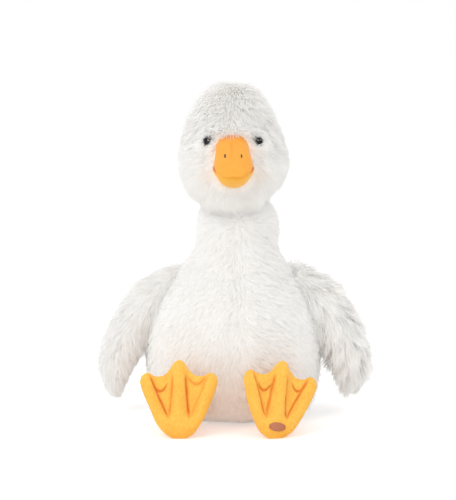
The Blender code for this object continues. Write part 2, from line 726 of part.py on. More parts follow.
def main():
    clear_scene()
    pile = make_material("white_pile", WHITE_PILE, 0.95)
    velour = make_material("orange_velour", ORANGE_VELOUR, 0.9)
    eye_plastic = make_material("black_plastic", BLACK_PLASTIC, 0.15)
    washer_plastic = make_material("washer_plastic", CLEAR_WHITE_PLASTIC, 0.4)
    nostril_thread = make_material("black_thread", BLACK_THREAD, 0.8)
    patch_thread = make_material("brown_thread", BROWN_THREAD, 0.6)

    torso = make_torso(pile)
    torso_cutter = grown_cutter(torso)
    head = make_head(pile)
    head_cutter = grown_cutter(head)
    cut(head, torso_cutter)

    upper_bill = make_upper_bill(velour)
    upper_bill_cutter = grown_cutter(upper_bill)
    lower_bill = make_lower_bill(velour)
    cut(upper_bill, head_cutter)
    cut(lower_bill, head_cutter, upper_bill_cutter)

    for name, side in (("left", 1.0), ("right", -1.0)):
        eye = make_eye(name + "_eye", side, eye_plastic)
        washer = make_washer(name + "_eye_washer", side, washer_plastic)
        cut(head, grown_cutter(eye), grown_cutter(washer))
        nostril = make_nostril(name + "_nostril", side, nostril_thread)
        cut(upper_bill, grown_cutter(nostril))
        cut(make_wing(name + "_wing", side, pile), torso_cutter)

    cut(make_tail(pile), torso_cutter)

    floor = make_floor_cutter()
    stances = (
        ("left", LEFT_HEEL_ASIDE, LEFT_FOOT_ROLL, LEFT_FOOT_YAW),
        ("right", -RIGHT_HEEL_ASIDE, -RIGHT_FOOT_ROLL, -RIGHT_FOOT_YAW),
    )
    for name, aside, roll, yaw in stances:
        placement = foot_placement(aside, roll, yaw)
        foot = make_foot(name + "_foot", placement, velour)
        leg = make_leg(name + "_leg", aside, placement, velour)
        foot_cutter = grown_cutter(foot)
        cut(leg, torso_cutter, foot_cutter)
        cut(foot, floor)
        if name == "left":
            cut(make_patch(placement, patch_thread), foot_cutter)


main()
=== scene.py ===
"""Looks for the seated plush goose: shaggy white pile, orange velour, glossy eyes and stitches.

The goose faces -Y and its left side is at +X. Sizes are in metres.
"""

import math

import bmesh
import bpy
import numpy as np
from mathutils import Matrix, Vector
from mathutils.bvhtree import BVHTree


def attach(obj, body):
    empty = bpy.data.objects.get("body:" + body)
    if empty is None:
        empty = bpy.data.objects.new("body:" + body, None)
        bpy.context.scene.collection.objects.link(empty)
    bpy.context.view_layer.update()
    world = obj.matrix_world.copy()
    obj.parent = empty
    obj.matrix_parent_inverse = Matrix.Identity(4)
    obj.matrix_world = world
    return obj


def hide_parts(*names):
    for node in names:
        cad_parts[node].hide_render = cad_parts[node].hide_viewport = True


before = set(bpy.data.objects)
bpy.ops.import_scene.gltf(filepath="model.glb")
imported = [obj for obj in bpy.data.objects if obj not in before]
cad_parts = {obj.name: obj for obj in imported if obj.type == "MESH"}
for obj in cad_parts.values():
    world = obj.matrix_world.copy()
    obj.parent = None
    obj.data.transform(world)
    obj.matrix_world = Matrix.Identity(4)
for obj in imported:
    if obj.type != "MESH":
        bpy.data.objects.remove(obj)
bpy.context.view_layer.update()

BODY = "root"
SEED = 7
UP = Vector((0.0, 0.0, 1.0))
SAME_PLACE = 1e-5
SAME_PLACE_ON_EYE = 1e-6

# Skins under the pile: how deep they lie, what they reach into, their mesh and their stuffing
HEAD_PILE_DEPTH = 0.0050
TORSO_PILE_DEPTH = 0.0038
WING_PILE_DEPTH = 0.0050
TAIL_PILE_DEPTH = 0.0040
SEAT_DEPTH_SHARE = 0.45
SEAM_REACH = 0.012
SEAM_WIDTH = 0.0013
SKIN_VOXEL = 0.0036
HEAD_SKIN_VOXEL = 0.0018
SKIN_SMOOTHING = 6
SEAM_FADE = 2.0
FLOOR_TILT = (-0.5, -0.95)
FLOOR_Z = (0.02, 0.01)
FRONT_HALF_Y = (0.012, -0.004)
PILE_FILL = 0.8

# Pile of each part: strand sizes, how the strands bend, gather in locks and wander, and how much painted
# shade darkens its white
COMMON_PILE = {"Unevenness": 0.40, "Droop": 0.10, "Lock Size": 0.0045}
HEAD_PILE = {
    **COMMON_PILE,
    "Length": 0.0145,
    "Width": 0.0006,
    "Lift": 0.95,
    "Locking": 0.22,
    "Lock Sway": 0.05,
    "Wave": 0.28,
    "Wave Size": 0.012,
    "Frizz": 0.10,
    "Strays": 0.15,
    "Painted Shade": 0.40,
}
TORSO_PILE = {
    **COMMON_PILE,
    "Length": 0.0145,
    "Width": 0.0009,
    "Lift": 0.72,
    "Locking": 0.30,
    "Lock Sway": 0.10,
    "Wave": 0.38,
    "Wave Size": 0.016,
    "Frizz": 0.11,
    "Strays": 0.25,
    "Painted Shade": 0.0,
}
SMOOTH_WING_PILE = {
    **COMMON_PILE,
    "Length": 0.0165,
    "Width": 0.0008,
    "Lift": 0.80,
    "Locking": 0.30,
    "Lock Sway": 0.07,
    "Wave": 0.35,
    "Wave Size": 0.018,
    "Frizz": 0.13,
    "Strays": 0.45,
    "Painted Shade": 0.30,
}
SHAGGY_WING_PILE = {
    "Length": 0.0262,
    "Unevenness": 0.50,
    "Width": 0.0008,
    "Lift": 0.50,
    "Droop": 0.20,
    "Lock Size": 0.0068,
    "Locking": 0.62,
    "Lock Sway": 0.24,
    "Wave": 1.3,
    "Wave Size": 0.020,
    "Frizz": 0.16,
    "Strays": 0.70,
    "Painted Shade": 0.35,
}
HEAD_STRANDS = 58000
FRONT_STRANDS = 62000
BACK_STRANDS = 40000
WING_STRANDS = 21000
TAIL_STRANDS = 9000
BLADE_SEGMENTS = 2
WING_BLADE_SEGMENTS = 3
BLADE_TAPER = 0.3
STRAND_TURN = 0.8
START_SWAY = 0.5
END_LIFT = 0.25
GATHER_POWER = 1.5
STRAY_RARITY = 12.0
STRAY_LENGTH = 0.4
SHADE_SPREAD = 0.5
LOWEST_STRAND_Z = 0.0004
NOISE_MIDDLE = Vector((0.5, 0.5, 0.5))
STRAND_HELPERS = ("root_place", "start_way", "end_way", "lock_way", "edge_way", "along", "side")
SKIN_HELPERS = ("comb", "pile", "cover", "front_cover", "back_cover")

# Where the comb of the head's pile changes, how it lies, and how much longer or shorter it is there
FACE_Y = (0.0, -0.035)
BROW_Z = (0.262, 0.286)
CHIN_Z = (0.243, 0.228)
JOWL_Z = (0.232, 0.214)
THROAT_X = (0.034, 0.022)
NAPE_Y = (-0.005, 0.012)
LEFT_JOWL_Z = (0.242, 0.228)
LEFT_JOWL_X = (0.028, 0.040)
LEFT_CROWN_Z = (0.288, 0.324)
LEFT_CROWN_X = (0.002, 0.014)
CROWN_TILT = (0.50, 0.98)
WHORL = Vector((0.0, -0.002, 0.330))
WHORL_STRENGTH = 0.85
FOREHEAD_PART = -0.005
PART_WIDTH = 0.010
FOREHEAD_SPREAD = 0.25
CHEEK_FALL = Vector((0.0, 0.5, -0.35))
CHIN_SPREAD = 0.45
BACK_SPREAD = 0.25
HEAD_BACK_DRIFT = 0.3
CROWN_LONGER = 0.05
THROAT_LONGER = 0.18
JOWL_SHORTER = 0.35
NAPE_LONGER = 0.25
LEFT_JOWL_SHORTER = 0.45
LEFT_CROWN_LONGER = 0.10
CROWN_RAISED = 0.42
LEFT_CROWN_RAISED = 0.36
BILL_ROOT = Vector((-0.0005, -0.066, 0.259))
BILL_ROOT_HALF_WIDTH = 0.0185
BILL_ROOT_HALF_HEIGHT = 0.0250
BILL_ROOT_POWER = 3.2
BILL_ROOT_BARE = (0.98, 0.86)
BESIDE_BILL = (1.5, 1.0)
BESIDE_BILL_SHORTER = 0.45
OVER_BILL = (1.7, 1.0)
OVER_BILL_LOOSER = 0.55
ROOT_RISE_START = 1.30
ROOT_RISE_ABOVE = 0.55
ROOT_RISE_END = 0.95
# Painted bounce light: the pile is tinted peach near the corners of the bill, as orange light thrown back
# from it
BOUNCE_CORNER = Vector((0.0215, -0.070, 0.246))
BOUNCE_REACH = (0.012, 0.002)
PAINTED_BOUNCE = 0.32
RUFFLED_X = (0.010, 0.035)
RUFFLE = 0.28
RUFFLE_SCALE = 1.6
EYE_RADIUS = 0.0060
EYE_OPENINGS = {"right": (-0.0010, 0.0030, 0.0058), "left": (-0.0032, 0.0029, 0.0048)}
LID_REACH = 0.0165
LID_CLOSENESS = 1.2
LID_RISE = 0.34
LID_RISE_FROM = (0.9, 1.5)
LID_EDGE = (0.90, 1.10)
LID_THICKNESS = 0.8
LID_LOOSER = 0.45
LID_SHORTER = 0.45
LID_SPREAD = 0.20

# Where the comb of the torso's, wings' and tail's pile changes, how it lies, and how long it is there
FRONT_Y = (0.01, -0.03)
CHEST_PART = 0.006
CHEST_SPREAD = 0.45
LEFT_CHEST_SPREAD = 0.75
LEFT_CHEST_LEVEL = 0.60
CHEST_LOOSER = 0.5
LEFT_CHEST_FIRMER = 0.5
RIGHT_CHEST_SHORTER = 0.28
TORSO_BACK_DRIFT = 0.15
LAP_Z = (0.075, 0.040)
LAP_NARROWING = 0.6
# Painted bounce light: the front of the lap is tinted peach, as orange light thrown back from the feet
LAP_PAINTED_BOUNCE = 0.12
LAP_PAINTED_BOUNCE_Z = (0.060, 0.020)
NECK_Z = (0.150, 0.185)
NECK_SHORTER = 0.10
COLLAR_Z = (0.176, 0.206)
COLLAR_WAY = Vector((0.60, 0.70, 0.42))
COLLAR_LONGER = 0.20
COLLAR_DENSER = 1.6
UNDER_CHIN_X = (0.042, 0.024)
UNDER_CHIN_RAISED = 1.4
WING_PIT_X = (0.052, 0.074)
WING_PIT_SHORTER = 0.10
LEFT_WING_PIT_SHORTER = 0.25
SHOULDER_Z = (0.060, 0.150)
SHOULDER_SPREAD = 1.15
WING_TIP_Z = (0.062, 0.018)
WING_INWARD = 0.12
WING_INNER_TILT = (0.3, -0.5)
WING_INNER_INWARD = 0.35
WING_INNER_TIP_LONGER = 0.3
WING_DRIFT = 0.05
WING_SHORTER = {"left": {"shoulder": 0.05, "tip": 0.62}, "right": {"shoulder": 0.25, "tip": 0.26}}
TAIL_FAN = 25.0
TAIL_BACK = 0.8
TAIL_DOWN = 0.5
TAIL_LENGTH_SHARE = 1.3

# Feet: how each stands on its heel, as the solids do, and the lines that its toes are sewn along
HEEL_Y = -0.121
FOOT_LEAN = 9.0
FOOT_SINK = 0.0006
LEFT_STANCE = {"aside": 0.0375, "roll": 10.5, "yaw": 17.0}
RIGHT_STANCE = {"aside": -0.0510, "roll": 0.0, "yaw": 0.0}
VELOUR_VOXEL = 0.00078
VELOUR_SMOOTHING = 4
MIDDLE_TOE_TOP = 0.0065
MIDDLE_TOE_SPREAD = 0.0045
SIDE_TOE_TOP = 0.0265
SIDE_TOE_SLOPE = 0.43
WEB_TOP = 0.059
WEB_FOOT = 0.022
WEB_RISE = (WEB_FOOT, WEB_FOOT + 0.008)
WEB_EDGE = 0.003
WEB_SINK = 0.0009
WEB_FOLD_HEIGHT = 0.006
WEB_FOLD_WIDTH = 0.0011
WEB_FOLD_ENDS = (1.2, 0.8)
RIGHT_TOE_LINES = {"inner": (0.55, 0.95), "outer": (1.0, 0.25)}
LEFT_TOE_LINES = {"inner": (0.75, 0.95), "outer": (1.0, 0.85)}
RIGHT_FOLDS = ((-0.0175, 0.0455, 0.0058, 1.0), (0.0165, 0.0520, 0.0075, 0.45))
LEFT_FOLDS = ((-0.0145, 0.0450, 0.0062, 0.9), (0.0190, 0.0480, 0.0060, 0.9))
TOE_GROOVE = 0.0020
TOE_GROOVE_WIDTH = 0.0009
TOE_LINE_SPREAD = 0.65
TOE_LINE_FOOT = (WEB_FOOT - 0.004, WEB_FOOT + 0.006)
TOE_LINE_TOP = (WEB_TOP + 0.004, WEB_TOP - 0.004)
HEEL_Z = (0.0, 0.004)
# Painted light that lightens the feet's velour
FOOT_PAINTED_LIGHT = 0.8
FOOT_FILL = 0.8
LEG_FILL = 0.7
CRUMPLE = 0.0005
CRUMPLE_SIZE = 0.009
CRUMPLE_BENDS = (1.7, 1.5)
CRUMPLE_PITCHES = (0.9, 1.1)
CRUMPLE_STRETCH = 1.3

# Bill: the seam down its middle, its mouth and its shoulders
BILL_SEAM_X = -0.0015
BILL_SEAM_DEPTH = 0.0006
BILL_SEAM_WIDTH = 0.0009
BILL_SEAM_END = -0.100
BILL_SEAM_Y = (BILL_SEAM_END, BILL_SEAM_END + 0.006)
BILL_SEAM_TILT = (0.0, 0.4)
BILL_SEAM_SHOW = 0.32
MOUTH_WIDTH = 0.0011
MOUTH_LIP = (0.008, 0.001)
MOUTH_CORNER_X = (0.007, 0.015)
UPPER_CORNER = (-0.0014, 0.0034)
LOWER_CORNER = (0.0032, 0.0034)
BILL_SHOULDER = 0.0018
BILL_SHOULDER_SKEW = 0.6
BILL_SHOULDER_Z = (0.260, 0.275)
BILL_SHOULDER_TILT = (0.0, 0.5)
BILL_CRUMPLE = 0.4
BILL_FILL = 0.9
# Painted light that lightens the lower bill, which faces down into shade
BILL_PAINTED_LIGHT = {"upper_bill": 0.0, "lower_bill": 0.6}

# Eyes, nostrils and the stitched oval
EYE_DOME = 0.0045
EYE_FLANGE = 0.0012
SHANK_RADIUS = 0.0024
SHANK_LENGTH = 0.0150
SHANK_TIP_SHARE = 0.7
SHANK_BEVEL = 0.0014
FLANGE_BACK_SHARE = 0.97
FLANGE_EDGE_SHARE = 0.4
EYE_SHARP_ANGLE = 50.0
EYE_SIDES = 48
EYE_DOME_RINGS = 12
NOSTRIL_LENGTH = 0.0058
NOSTRIL_THREADS = 2
NOSTRIL_THREAD = 0.00042
NOSTRIL_THREAD_GAP = 1.5
NOSTRIL_STAGGER = 0.12
NOSTRIL_BOW = 0.0006
NOSTRIL_SINK = 0.5
NOSTRIL_STEPS = 8
PATCH_WIDTH = 0.0165
PATCH_HEIGHT = 0.0085
PATCH_MIDDLE = Vector((0.0012, 0.0129, 0.0500))
PATCH_THREAD = 0.00055
PATCH_THREAD_PLUMPNESS = 0.62
PATCH_ROWS = 14
PATCH_STEPS = 16
THREAD_SIDES = 8

# Colours, in linear light
WHITE = (0.996, 0.994, 0.989)
# The white that random streaks, and the painted shade of the head and wings, mix towards
SHADED_WHITE = (0.955, 0.946, 0.930)
# Painted bounce light: the peach that the pile takes beside the orange bill and feet
BOUNCE_PEACH = (0.99, 0.86, 0.75)
BACKING_WHITE = (0.985, 0.980, 0.970)
VELOUR_LIGHT = (0.92, 0.405, 0.045)
# Painted light: a lighter orange for velour where the light falls on it
VELOUR_PAINTED_LIGHT = (1.0, 0.590, 0.090)
VELOUR_DEEP = (0.88, 0.300, 0.022)
# Painted shade: the dark orange of toe grooves, web folds, the bill's seam and the mouth crease
VELOUR_CREASE_SHADE = (0.78, 0.200, 0.006)
EYE_BLACK = (0.006, 0.006, 0.007)
THREAD_BLACK = (0.012, 0.010, 0.009)
THREAD_BROWN = (0.56, 0.175, 0.055)
WASHER_WHITE = (0.75, 0.75, 0.73)
FLOOR_WHITE = (0.90, 0.90, 0.90)

# Finishes: how fine each pattern is, and how far it shows
PILE_THROUGH = 0.45
PILE_SHADE_POWER = 2.0
KNIT_SCALE = 900.0
BACKING_ROUGHNESS = 0.9
BACKING_BUMP = (0.5, 0.0008)
VELOUR_FINISH = {"Roughness": 0.9, "Sheen Weight": 0.25, "Sheen Roughness": 0.4, "Specular IOR Level": 0.2}
VELOUR_BUMP = (0.45, 0.0006)
PUSHED_SCALE = 75.0
PUSHED_DETAIL = 3.0
PUSHED_RANGE = (0.40, 0.75)
PUSHED_SHOW = 0.18
FIBRE_SCALE = 900.0
FIBRE_STRETCH = Vector((1.0, 1.0, 0.35))
FIBRE_RANGE = (0.38, 0.64)
FIBRE_SHOW = 0.30
NAP_SCALE = 1500.0
GLOSS_SCALE = 300.0
GLOSS_UNEVENNESS = 0.06
GLOSS_SPECULAR = 0.2
EYE_ROUGHNESS = 0.06
WASHER_ROUGHNESS = 0.35
THREAD_SCALE = 2500.0
THREAD_SHADE = 0.6
THREAD_SHADE_SHOW = 0.5
THREAD_ROUGHNESS = 0.55
THREAD_BUMP = (0.4, 0.0002)
FLOOR_FINISH = {"Roughness": 0.9, "Specular IOR Level": 0.1, "Emission Strength": 1.0}

# Studio and camera
WORLD_STRENGTH = 0.99
KEY_POWER = 10.0
KEY_SIZE = 0.8
KEY_PLACE = Vector((-1.1, -1.5, 1.7))
GLINT_POWER = 40.0
GLINT_SIZE = 0.22
GLINT_PLACES = (Vector((-0.73, -1.23, 0.78)), Vector((0.60, -1.30, 0.80)))
FLOOR_SIZE = 12.0
FLOOR_GLOW = 0.30
LIGHT_BOUNCES = 20
CAMERA_ELEVATION = 7.0
CAMERA_DISTANCE = 1.6
CAMERA_LENS = 115.2
CAMERA_SENSOR = 36.0
CAMERA_AIM = Vector((-0.005, 0.0, 0.1642))
MIDDLE_OF_GOOSE = Vector((0.0, 0.0, 0.16))


class Socket:
    """An output socket, with arithmetic that adds Math nodes, or Vector Math nodes for vectors."""

    def __init__(self, tree, socket):
        self.tree = tree
        self.socket = socket

    @staticmethod
    def _holds_vector(part):
        if isinstance(part, Socket):
            return part.socket.type in ("VECTOR", "RGBA")
        return isinstance(part, Vector)

    def _join(self, operation, first, second):
        vectors = [self._holds_vector(part) for part in (first, second)]
        if not any(vectors):
            inputs = {0: first, 1: second}
            return self.tree.add("ShaderNodeMath", {"operation": operation}, inputs)["Value"]
        if operation == "MULTIPLY" and not all(vectors):
            vector, number = (first, second) if vectors[0] else (second, first)
            inputs = {0: vector, "Scale": number}
            return self.tree.add("ShaderNodeVectorMath", {"operation": "SCALE"}, inputs)["Vector"]
        return self.tree.vector_maths(operation, first, second)

    def __add__(self, other):
        return self._join("ADD", self, other)

    def __radd__(self, other):
        return self._join("ADD", other, self)

    def __sub__(self, other):
        return self._join("SUBTRACT", self, other)

    def __rsub__(self, other):
        return self._join("SUBTRACT", other, self)

    def __mul__(self, other):
        return self._join("MULTIPLY", self, other)

    def __rmul__(self, other):
        return self._join("MULTIPLY", other, self)

    def __truediv__(self, other):
        return self._join("DIVIDE", self, other)

    def __rtruediv__(self, other):
        return self._join("DIVIDE", other, self)

    def __pow__(self, other):
        return self._join("POWER", self, other)


class Node:
    """A node whose outputs are read by name or number."""

    def __init__(self, tree, node):
        self.tree = tree
        self.node = node

    def __getitem__(self, key):
        return Socket(self.tree, self.node.outputs[key])


class Tree:
    """A node tree to which nodes are added with their settings and inputs."""

    def __init__(self, tree):
        self.tree = tree

    def add(self, kind, settings=None, inputs=None):
        node = self.tree.nodes.new(kind)
        for name, value in (settings or {}).items():
            setattr(node, name, value)
        for key, value in (inputs or {}).items():
            if isinstance(value, Socket):
                self.tree.links.new(value.socket, node.inputs[key])
            else:
                node.inputs[key].default_value = value
        return Node(self, node)

    def mix(self, share, first, second):
        """The first colour, or the second where share is 1."""
        settings = {"data_type": "RGBA"}
        return self.add("ShaderNodeMix", settings, {0: share, 6: first, 7: second})[2]

    def between(self, value, low, high):
        """0 where a value is below low, 1 above high, and smooth between them."""
        settings = {"interpolation_type": "SMOOTHSTEP"}
        return self.add("ShaderNodeMapRange", settings, {0: value, 1: low, 2: high})[0]

    def noise(self, place, scale, detail=2.0):
        return self.add("ShaderNodeTexNoise", {}, {"Vector": place, "Scale": scale, "Detail": detail})

    def vector_maths(self, operation, *parts):
        inputs = dict(enumerate(parts))
        return self.add("ShaderNodeVectorMath", {"operation": operation}, inputs)["Vector"]

    def object_place(self):
        """Where a point of the surface lies on its object, in a material."""
        return self.add("ShaderNodeTexCoord")["Object"]

    def painted(self, name):
        """A value that a piece's mesh carries for each vertex, in a material."""
        return self.add("ShaderNodeAttribute", {"attribute_name": name})["Fac"]

    def bump(self, height, strength, distance):
        inputs = {"Strength": strength, "Distance": distance, "Height": height}
        return self.add("ShaderNodeBump", {}, inputs)["Normal"]

    def principled(self, inputs):
        return self.add("ShaderNodeBsdfPrincipled", {}, inputs)["BSDF"]

    def attribute(self, name, kind="FLOAT"):
        """A named attribute of the mesh, in a Geometry Nodes tree."""
        settings = {"data_type": kind}
        return self.add("GeometryNodeInputNamedAttribute", settings, {"Name": name})["Attribute"]

    def close_group(self, geometry, material):
        """Ends a Geometry Nodes tree with the material of what it makes."""
        inputs = {"Geometry": geometry, "Material": material}
        done = self.add("GeometryNodeSetMaterial", {}, inputs)["Geometry"]
        self.add("NodeGroupOutput", {}, {"Geometry": done})

    def store(self, geometry, name, value, kind="FLOAT"):
        """Stores a named attribute on the points of a geometry."""
        settings = {"data_type": kind, "domain": "POINT"}
        inputs = {"Geometry": geometry, "Name": name, "Value": value}
        return self.add("GeometryNodeStoreNamedAttribute", settings, inputs)["Geometry"]


def smooth_step(low, high, value):
    """0 below low, 1 above high, and a smooth rise between them; low may be the larger."""
    share = min(1.0, max(0.0, (value - low) / (high - low)))
    return share * share * (3.0 - 2.0 * share)


def colour(rgb):
    return (*rgb, 1.0)


def link_object(name, mesh):
    """Adds an object at the origin for a mesh."""
    made = bpy.data.objects.new(name, mesh)
    bpy.context.scene.collection.objects.link(made)
    return made


def discard(thing):
    """Removes a helper object and its mesh."""
    mesh = thing.data
    bpy.data.objects.remove(thing)
    bpy.data.meshes.remove(mesh)


def finished(thing, name):
    """A plain mesh object of what a helper's modifiers make; the helper is removed."""
    graph = bpy.context.evaluated_depsgraph_get()
    mesh = bpy.data.meshes.new_from_object(thing.evaluated_get(graph))
    discard(thing)
    mesh.name = name
    return link_object(name, mesh)


def mesh_from(shape, name):
    """A mesh of what a bmesh holds; the bmesh is freed."""
    mesh = bpy.data.meshes.new(name)
    shape.to_mesh(mesh)
    shape.free()
    return mesh


def node_copy(name, node):
    """A merged copy of a CAD node."""
    shape = bmesh.new()
    shape.from_mesh(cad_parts[node].data)
    bmesh.ops.remove_doubles(shape, verts=shape.verts, dist=SAME_PLACE)
    return link_object(name, mesh_from(shape, name))


def surface_of_meshes(*meshes):
    """A search tree over the surface of meshes."""
    shape = bmesh.new()
    for mesh in meshes:
        shape.from_mesh(mesh)
    tree = BVHTree.FromBMesh(shape)
    shape.free()
    return tree


def surface_of(*nodes):
    """A search tree over the surface of CAD nodes."""
    return surface_of_meshes(*[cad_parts[node].data for node in nodes])


def even_copy(name, node, voxel, smoothing):
    """A copy of a CAD node in even faces, with its corners smoothed."""
    helper = node_copy(name + "_helper", node)
    remesh = helper.modifiers.new("even", "REMESH")
    remesh.mode = "VOXEL"
    remesh.voxel_size = voxel
    remesh.use_smooth_shade = True
    smooth = helper.modifiers.new("smooth", "SMOOTH")
    smooth.iterations = smoothing
    return finished(helper, name)


def places_of(mesh):
    found = np.empty(len(mesh.vertices) * 3, np.float32)
    mesh.vertices.foreach_get("co", found)
    return found.reshape(-1, 3)


def normals_of(mesh):
    found = np.empty(len(mesh.vertices) * 3, np.float32)
    mesh.vertex_normals.foreach_get("vector", found)
    return found.reshape(-1, 3)


def move_vertices(mesh, places):
    mesh.vertices.foreach_set("co", np.asarray(places, np.float32).ravel())
    mesh.update()


def put_attribute(mesh, name, kind, values):
    """Adds a named value for each vertex."""
    layer = mesh.attributes.new(name, kind, "POINT")
    field = "vector" if kind == "FLOAT_VECTOR" else "value"
    layer.data.foreach_set(field, np.asarray(values, np.float32).ravel())


def attribute_of(mesh, name):
    found = np.empty(len(mesh.vertices), np.float32)
    mesh.attributes[name].data.foreach_get("value", found)
    return found


def make_skin(name, node, neighbours, depth, rule, voxel=SKIN_VOXEL):
    """The skin under a node's pile, with the comb, length, cover and painted orange bounce light that a rule
    gives each place.

    It lies deeper than the node by a share that the rule also gives, and reaches into what it is sewn to.
    """
    skin = even_copy(name, node, voxel, SKIN_SMOOTHING)
    mesh = skin.data
    near = surface_of(*neighbours)
    moved, combs, piles, covers, painted_bounces = [], [], [], [], []
    for place, normal in zip(places_of(mesh), normals_of(mesh)):
        place, normal = Vector(place), Vector(normal)
        _, outward, _, distance = near.find_nearest(place)
        joined = smooth_step(SEAM_WIDTH * SEAM_FADE, SEAM_WIDTH, distance)
        way, pile, cover, painted_bounce, sunk = rule(place, normal)
        on_floor = smooth_step(*FLOOR_TILT, normal.z) * smooth_step(*FLOOR_Z, place.z)
        floor_share = 1.0 - (1.0 - SEAT_DEPTH_SHARE) * on_floor
        sinking = depth * sunk * floor_share * (1.0 - joined)
        moved.append(place - normal * sinking - outward * SEAM_REACH * joined)
        combs.append(way - normal * way.dot(normal))
        piles.append(pile * floor_share)
        covers.append(cover * (1.0 - joined))
        painted_bounces.append(painted_bounce)
    move_vertices(mesh, moved)
    put_attribute(mesh, "comb", "FLOAT_VECTOR", combs)
    for title, values in (("pile", piles), ("cover", covers), ("painted_bounce", painted_bounces)):
        put_attribute(mesh, title, "FLOAT", values)
    return skin


def covered_area(mesh, cover):
    """The area of a skin, counted by a cover attribute."""
    shares = attribute_of(mesh, cover)
    total = 0.0
    for face in mesh.polygons:
        total += face.area * float(np.mean(shares[list(face.vertices)]))
    return total


def make_blade(segments):
    """One strand: a ribbon of unit length that ends in a point, with its places along and across stored."""
    places, across, faces = [], [], []
    for step in range(segments):
        share = step / segments
        for side in (-0.5, 0.5):
            places.append((side, 0.0, share))
            across.append(side * (1.0 - BLADE_TAPER * share))
    places.append((0.0, 0.0, 1.0))
    across.append(0.0)
    for step in range(segments - 1):
        low = 2 * step
        faces.append((low, low + 1, low + 3, low + 2))
    last = 2 * (segments - 1)
    faces.append((last, last + 1, last + 2))
    mesh = bpy.data.meshes.new("blade")
    mesh.from_pydata(places, [], faces)
    put_attribute(mesh, "along", "FLOAT", [place[2] for place in places])
    put_attribute(mesh, "side", "FLOAT", across)
    return link_object("blade", mesh)


def new_group(name, inputs):
    """A Geometry Nodes group with named inputs, and the identifier of each."""
    group = bpy.data.node_groups.new(name, "GeometryNodeTree")
    group.interface.new_socket("Geometry", in_out="INPUT", socket_type="NodeSocketGeometry")
    group.interface.new_socket("Geometry", in_out="OUTPUT", socket_type="NodeSocketGeometry")
    identifiers = {}
    for title, kind in inputs.items():
        made = group.interface.new_socket(title, in_out="INPUT", socket_type="NodeSocket" + kind)
        identifiers[title] = made.identifier
    return group, identifiers


